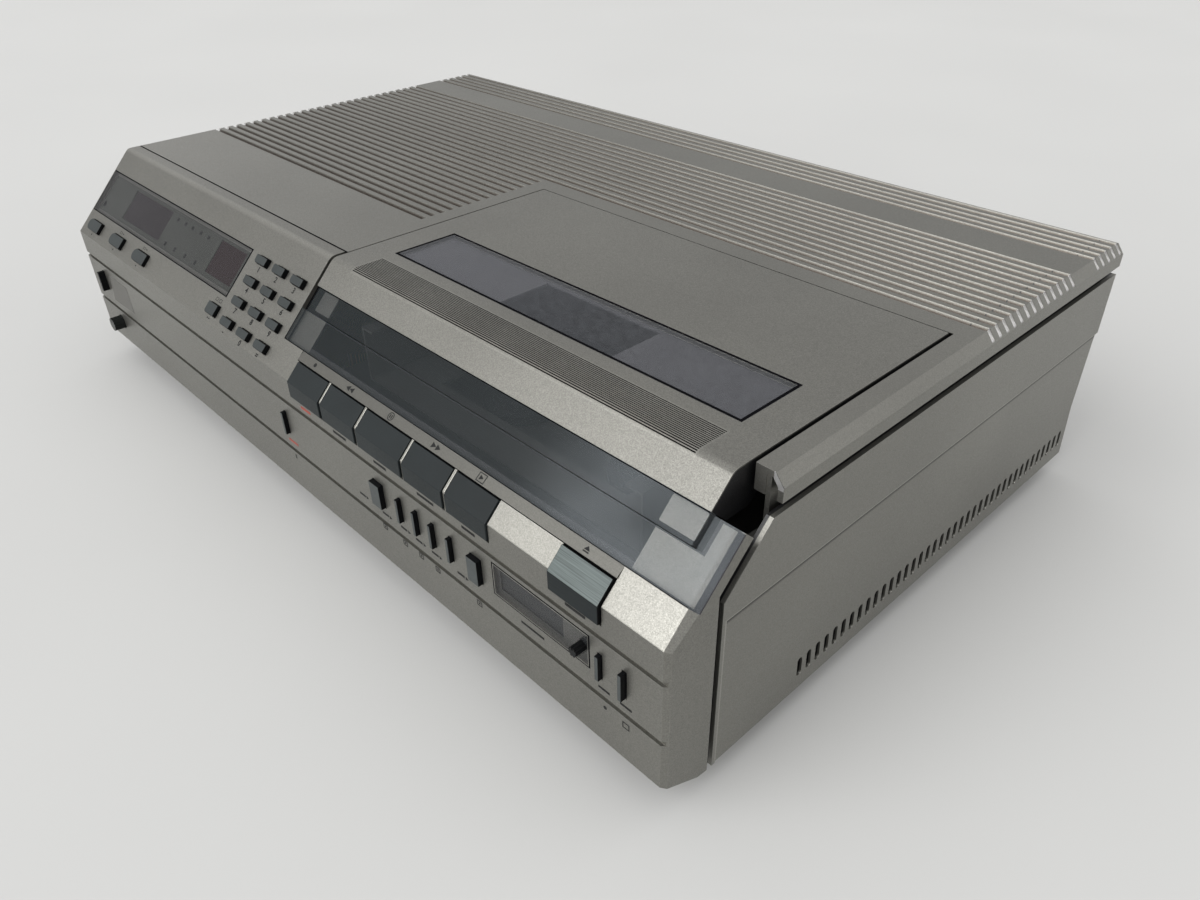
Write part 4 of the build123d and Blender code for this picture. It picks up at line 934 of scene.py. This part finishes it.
def add_power_patch():
    """Grey printed field beside the power button, narrowing to the right."""
    patch = [(-237.5, 38.2), (-203.2, 39.6), (-203.8, 57.2), (-231.6, 57.9)]
    print_marks("power_patch", FACE, [patch], "grey_ink")


add_keypad_digits()
add_timer_marks()
add_power_patch()

# Trim between and beside the piano keys, painted bright as a highlight
FACET_HEIGHTS = (0.0, 0.05)
DIVIDER_HEIGHTS = (0.0, 0.6)
DIVIDER_BEVEL = 0.3


def add_facets():
    """Facets beside the eject key and dividers between the piano keys, in a lighter copy of the paint as a
    painted highlight.
    """
    facets = [rectangle(173.3, 209.3, 0.35, 10.95), rectangle(237.1, 266.4, 0.35, 16.2)]
    add_plates("slope_facets", SLOPE, facets, FACET_HEIGHTS, "lit_facet")
    gaps = [(before[1] + KEY_GAP, after[0] - KEY_GAP) for before, after in zip(PIANO_KEYS, PIANO_KEYS[1:])]
    dividers = [rectangle(left, right, 0.3, 11.2) for left, right in gaps]
    round_edges(add_plates("key_dividers", SLOPE, dividers, DIVIDER_HEIGHTS, "lit_facet"), DIVIDER_BEVEL)


add_facets()


def inset(box, left, right=None, low=None, high=None):
    """The limits of a box moved inwards, by one margin or by four."""
    right, low, high = (left if margin is None else margin for margin in (right, low, high))
    return box[0] + left, box[1] - right, box[2] + low, box[3] - high


def outlines_round(outer, hole):
    """Four strips round a rectangular hole."""
    x0, x1, u0, u1 = outer
    a0, a1, b0, b1 = hole
    strips = [(x0, x1, u0, b0), (x0, x1, b1, u1), (x0, a0, b0, b1), (a1, x1, b0, b1)]
    return [rectangle(*strip) for strip in strips]


# Heights over the surface of the lines on the windows and of the plates behind them, and their sizes
LINE_HEIGHTS = (0.012, 0.06)
BACK_HEIGHTS = (-2.98, -2.9)
LID_BACK_HEIGHTS = (-5.0, -4.15)
LABEL_BACK_HEIGHTS = (-2.7, -1.8)
LABEL_OPENING = (95.0, 168.0, 72.0, 102.0)
PLATE_CUT = 0.5
FRAME_GAP = 0.1
TAPE_LINE = 0.35


def add_tape_window_ends():
    """Plates behind the ends of both tape windows in a lit copy of the paint at the right ends and a shaded
    copy at the left ends, painted light and shade, and dark bands beside them as painted shade.
    """
    ends = [rectangle(238.0, 266.6, 16.9, 33.5), rectangle(260.4, 266.6, 33.5, 46.2)]
    add_plates("tape_window_end", SLOPE, ends, BACK_HEIGHTS, "lit_window_back")
    left_end = cut_rectangle(-3.7, 15.6, 16.6, 33.9, PLATE_CUT)
    add_plates("tape_window_left_end", SLOPE, [left_end], BACK_HEIGHTS, "shaded_window_back")
    # Dark bands as painted shade
    shade_bands = [rectangle(266.8, 269.7, 16.5, 46.6), rectangle(15.6, 238.0, 33.5, 33.85)]
    add_plates("tape_window_shade_band", SLOPE, shade_bands, BACK_HEIGHTS, "shade_band")
    lid_end = cut_rectangle(236.8, 253.4, 36.0, 46.8, PLATE_CUT)
    add_plates("lid_window_end", SLOPE, [lid_end], LID_BACK_HEIGHTS, "lit_window_back", "lift")
    lid_left_end = cut_rectangle(0.6, 13.6, 36.0, 46.8, PLATE_CUT)
    add_plates("lid_window_left_end", SLOPE, [lid_left_end], LID_BACK_HEIGHTS, "shaded_window_back", "lift")


def add_window_frames():
    """Black frames on the label, counter and display windows as painted shade in the gaps round the panes, a
    painted highlight inside the counter frame, and the plate under the label window.
    """
    label = (*LABEL_X, *LABEL_Y)
    outer = inset(label, FRAME_GAP)
    frame_strips = outlines_round(outer, inset(outer, 1.4, 1.4, 1.3, 1.3))
    add_plates("label_window_frame", TOP, frame_strips, LINE_HEIGHTS, "black", "lift")
    back_strips = outlines_round(inset(label, 1.0), LABEL_OPENING)
    add_plates("label_window_back", TOP, back_strips, LABEL_BACK_HEIGHTS, "lilac", "lift")
    outer = inset((*COUNTER_X, *COUNTER_Z), FRAME_GAP)
    inner = inset(outer, 0.7, 0.7, 0.6, 0.6)
    add_plates("counter_window_frame", FACE, outlines_round(outer, inner), LINE_HEIGHTS, "black")
    # Thin lighter line inside the counter frame as a painted highlight
    highlight_strips = outlines_round(inner, inset(inner, 0.4))
    add_plates("counter_window_rim_highlight", FACE, highlight_strips, LINE_HEIGHTS, "lit_facet")
    outer = inset((*DISPLAY_X, *DISPLAY_S), FRAME_GAP)
    frame_strips = outlines_round(outer, inset(outer, 0.5, 0.9, 0.5, 0.6))
    add_plates("display_frame", SLOPE, frame_strips, LINE_HEIGHTS, "black")


def add_shadow_lines():
    """Black lines as painted shade along two sides of each tape window, and where the top cover meets the
    front.
    """
    bottom = TAPE_WINDOW_S[0]
    lines = [rectangle(-3.8, 266.0, bottom, bottom + TAPE_LINE),
             rectangle(-3.8, -3.3, bottom + TAPE_LINE, TAPE_WINDOW_S[1])]
    add_plates("tape_window_line", SLOPE, lines, LINE_HEIGHTS, "black")
    x0, x1, s0, s1 = *LID_WINDOW_X, *LID_WINDOW_S
    lines = [rectangle(x0 + 0.1, x0 + 0.5, s0 + 0.1, s1 - 0.1),
             rectangle(x0 + 0.5, x1 - 0.1, s1 - 0.5, s1 - 0.1)]
    add_plates("lid_window_line", SLOPE, lines, LINE_HEIGHTS, "black", "lift")
    seam = rectangle(-265.8, -2.4, 52.8, 53.75)
    add_plates("cover_seam", TOP, [seam], LINE_HEIGHTS, "black")


add_tape_window_ends()
add_window_frames()
add_shadow_lines()

# Mask behind the clock window, its two openings and the marks on it
MASK_HEIGHTS = (-3.2, -2.3)
MASK_HOLES = ((-228.0, -172.0, 22.5, 42.6), (-106.6, -76.0, 22.5, 43.0))
FILTER_DROP = 0.35
UPPER_MARKS_X = (-162.5, -151.9, -142.3, -131.1, -120.9)
LOWER_MARKS_X = (-161.9, -148.5, -134.3, -120.4)


def add_display_mask():
    """Mask behind the clock window with a filter in each opening and rows of small marks."""
    low, high = MASK_HEIGHTS
    x0, x1, s0, s1 = inset((*DISPLAY_X, *DISPLAY_S), 0.5)
    tube, lamp = MASK_HOLES
    strips = [
        (x0, tube[0], s0, s1),
        (tube[0], tube[1], s0, tube[2]),
        (tube[0], tube[1], tube[3], s1),
        (tube[1], lamp[0], s0, s1),
        (lamp[0], lamp[1], s0, lamp[2]),
        (lamp[0], lamp[1], lamp[3], s1),
        (lamp[1], x1, s0, s1),
    ]
    add_plates("display_mask", SLOPE, [rectangle(*strip) for strip in strips], MASK_HEIGHTS, "mask")
    for name, look, hole in (("tube_filter", "tube", tube), ("lamp_filter", "lamp", lamp)):
        outline = cut_rectangle(*inset(hole, 0.05), PLATE_CUT)
        add_plates(name, SLOPE, [outline], (low, high - FILTER_DROP), look)
    marks = [rectangle(x - 1.3, x + 1.3, 39.0, 41.2) for x in UPPER_MARKS_X]
    marks += [rectangle(x - 1.2, x + 1.2, 22.3, 24.9) for x in LOWER_MARKS_X]
    print_marks("display_marks", SLOPE, marks, "mask_line", out=high)
    print_marks("display_dot", SLOPE, [disc(-259.6, 24.3, 1.9, 20)], "black", out=high)


add_display_mask()

# Floor, light and background
FLOOR_HALF = 25.0
SKY = (0.995, 0.995, 1.0, 1.0)
SOFT_LIGHT_ELEVATION = math.radians(35)
SOFT_LIGHT_TURN = math.radians(13)
SOFT_LIGHT_EDGE = 0.80
SOFT_LIGHT_LEVEL = 4.0
SKY_LEVEL = 0.76
ZENITH_LEVEL = 0.97
# Direction, start and end of each change in the sky, and how much it dims. A negative number brightens.
DIM_SIDES = (
    ((-0.94, -0.30, 0.17), 0.80, 1.0, 0.42),
    ((-0.50, 0.86, 0.17), 0.70, 1.0, 0.27),
    ((0.90, 0.20, 0.40), 0.30, 1.0, -0.25),
    ((-0.93, 0.05, 0.37), 0.92, 1.0, -0.14),
)


def add_floor():
    mesh = bmesh.new()
    square = rectangle(-FLOOR_HALF, FLOOR_HALF, -FLOOR_HALF, FLOOR_HALF)
    mesh.faces.new([mesh.verts.new((x, y, 0)) for x, y in square])
    data = bpy.data.meshes.new("floor")
    mesh.to_mesh(data)
    mesh.free()
    data.materials.append(floor_material())
    floor = bpy.data.objects.new("floor", data)
    bpy.context.scene.collection.objects.link(floor)


def add_world():
    """Pale surroundings with dimmer and brighter sides, and a wide soft light in front."""
    world = bpy.data.worlds.new("studio")
    world.use_nodes = True
    bpy.context.scene.world = world
    graph = Graph(world.node_tree)
    background = world.node_tree.nodes["Background"]
    direction = graph.node("ShaderNodeTexCoord").outputs["Generated"]
    split = graph.node("ShaderNodeSeparateXYZ")
    graph.put(split.inputs[0], direction)
    level = graph.ramp(split.outputs[2], 0.2, 1.0, SKY_LEVEL, ZENITH_LEVEL)
    for towards, start, end, drop in DIM_SIDES:
        lean = graph.vector("DOT_PRODUCT", direction, towards)
        level = graph.math("SUBTRACT", level, graph.ramp(lean, start, end, 0.0, drop, smooth=True))
    flat = math.cos(SOFT_LIGHT_ELEVATION)
    towards = (-math.sin(SOFT_LIGHT_TURN) * flat, -math.cos(SOFT_LIGHT_TURN) * flat,
               math.sin(SOFT_LIGHT_ELEVATION))
    lean = graph.vector("DOT_PRODUCT", direction, towards)
    soft_light = graph.ramp(lean, SOFT_LIGHT_EDGE, 1.0, 0.0, SOFT_LIGHT_LEVEL, smooth=True)
    background.inputs["Color"].default_value = SKY
    graph.put(background.inputs["Strength"], graph.math("ADD", level, soft_light))


add_camera()
add_floor()
add_world()
bpy.context.scene.view_settings.view_transform = "Standard"
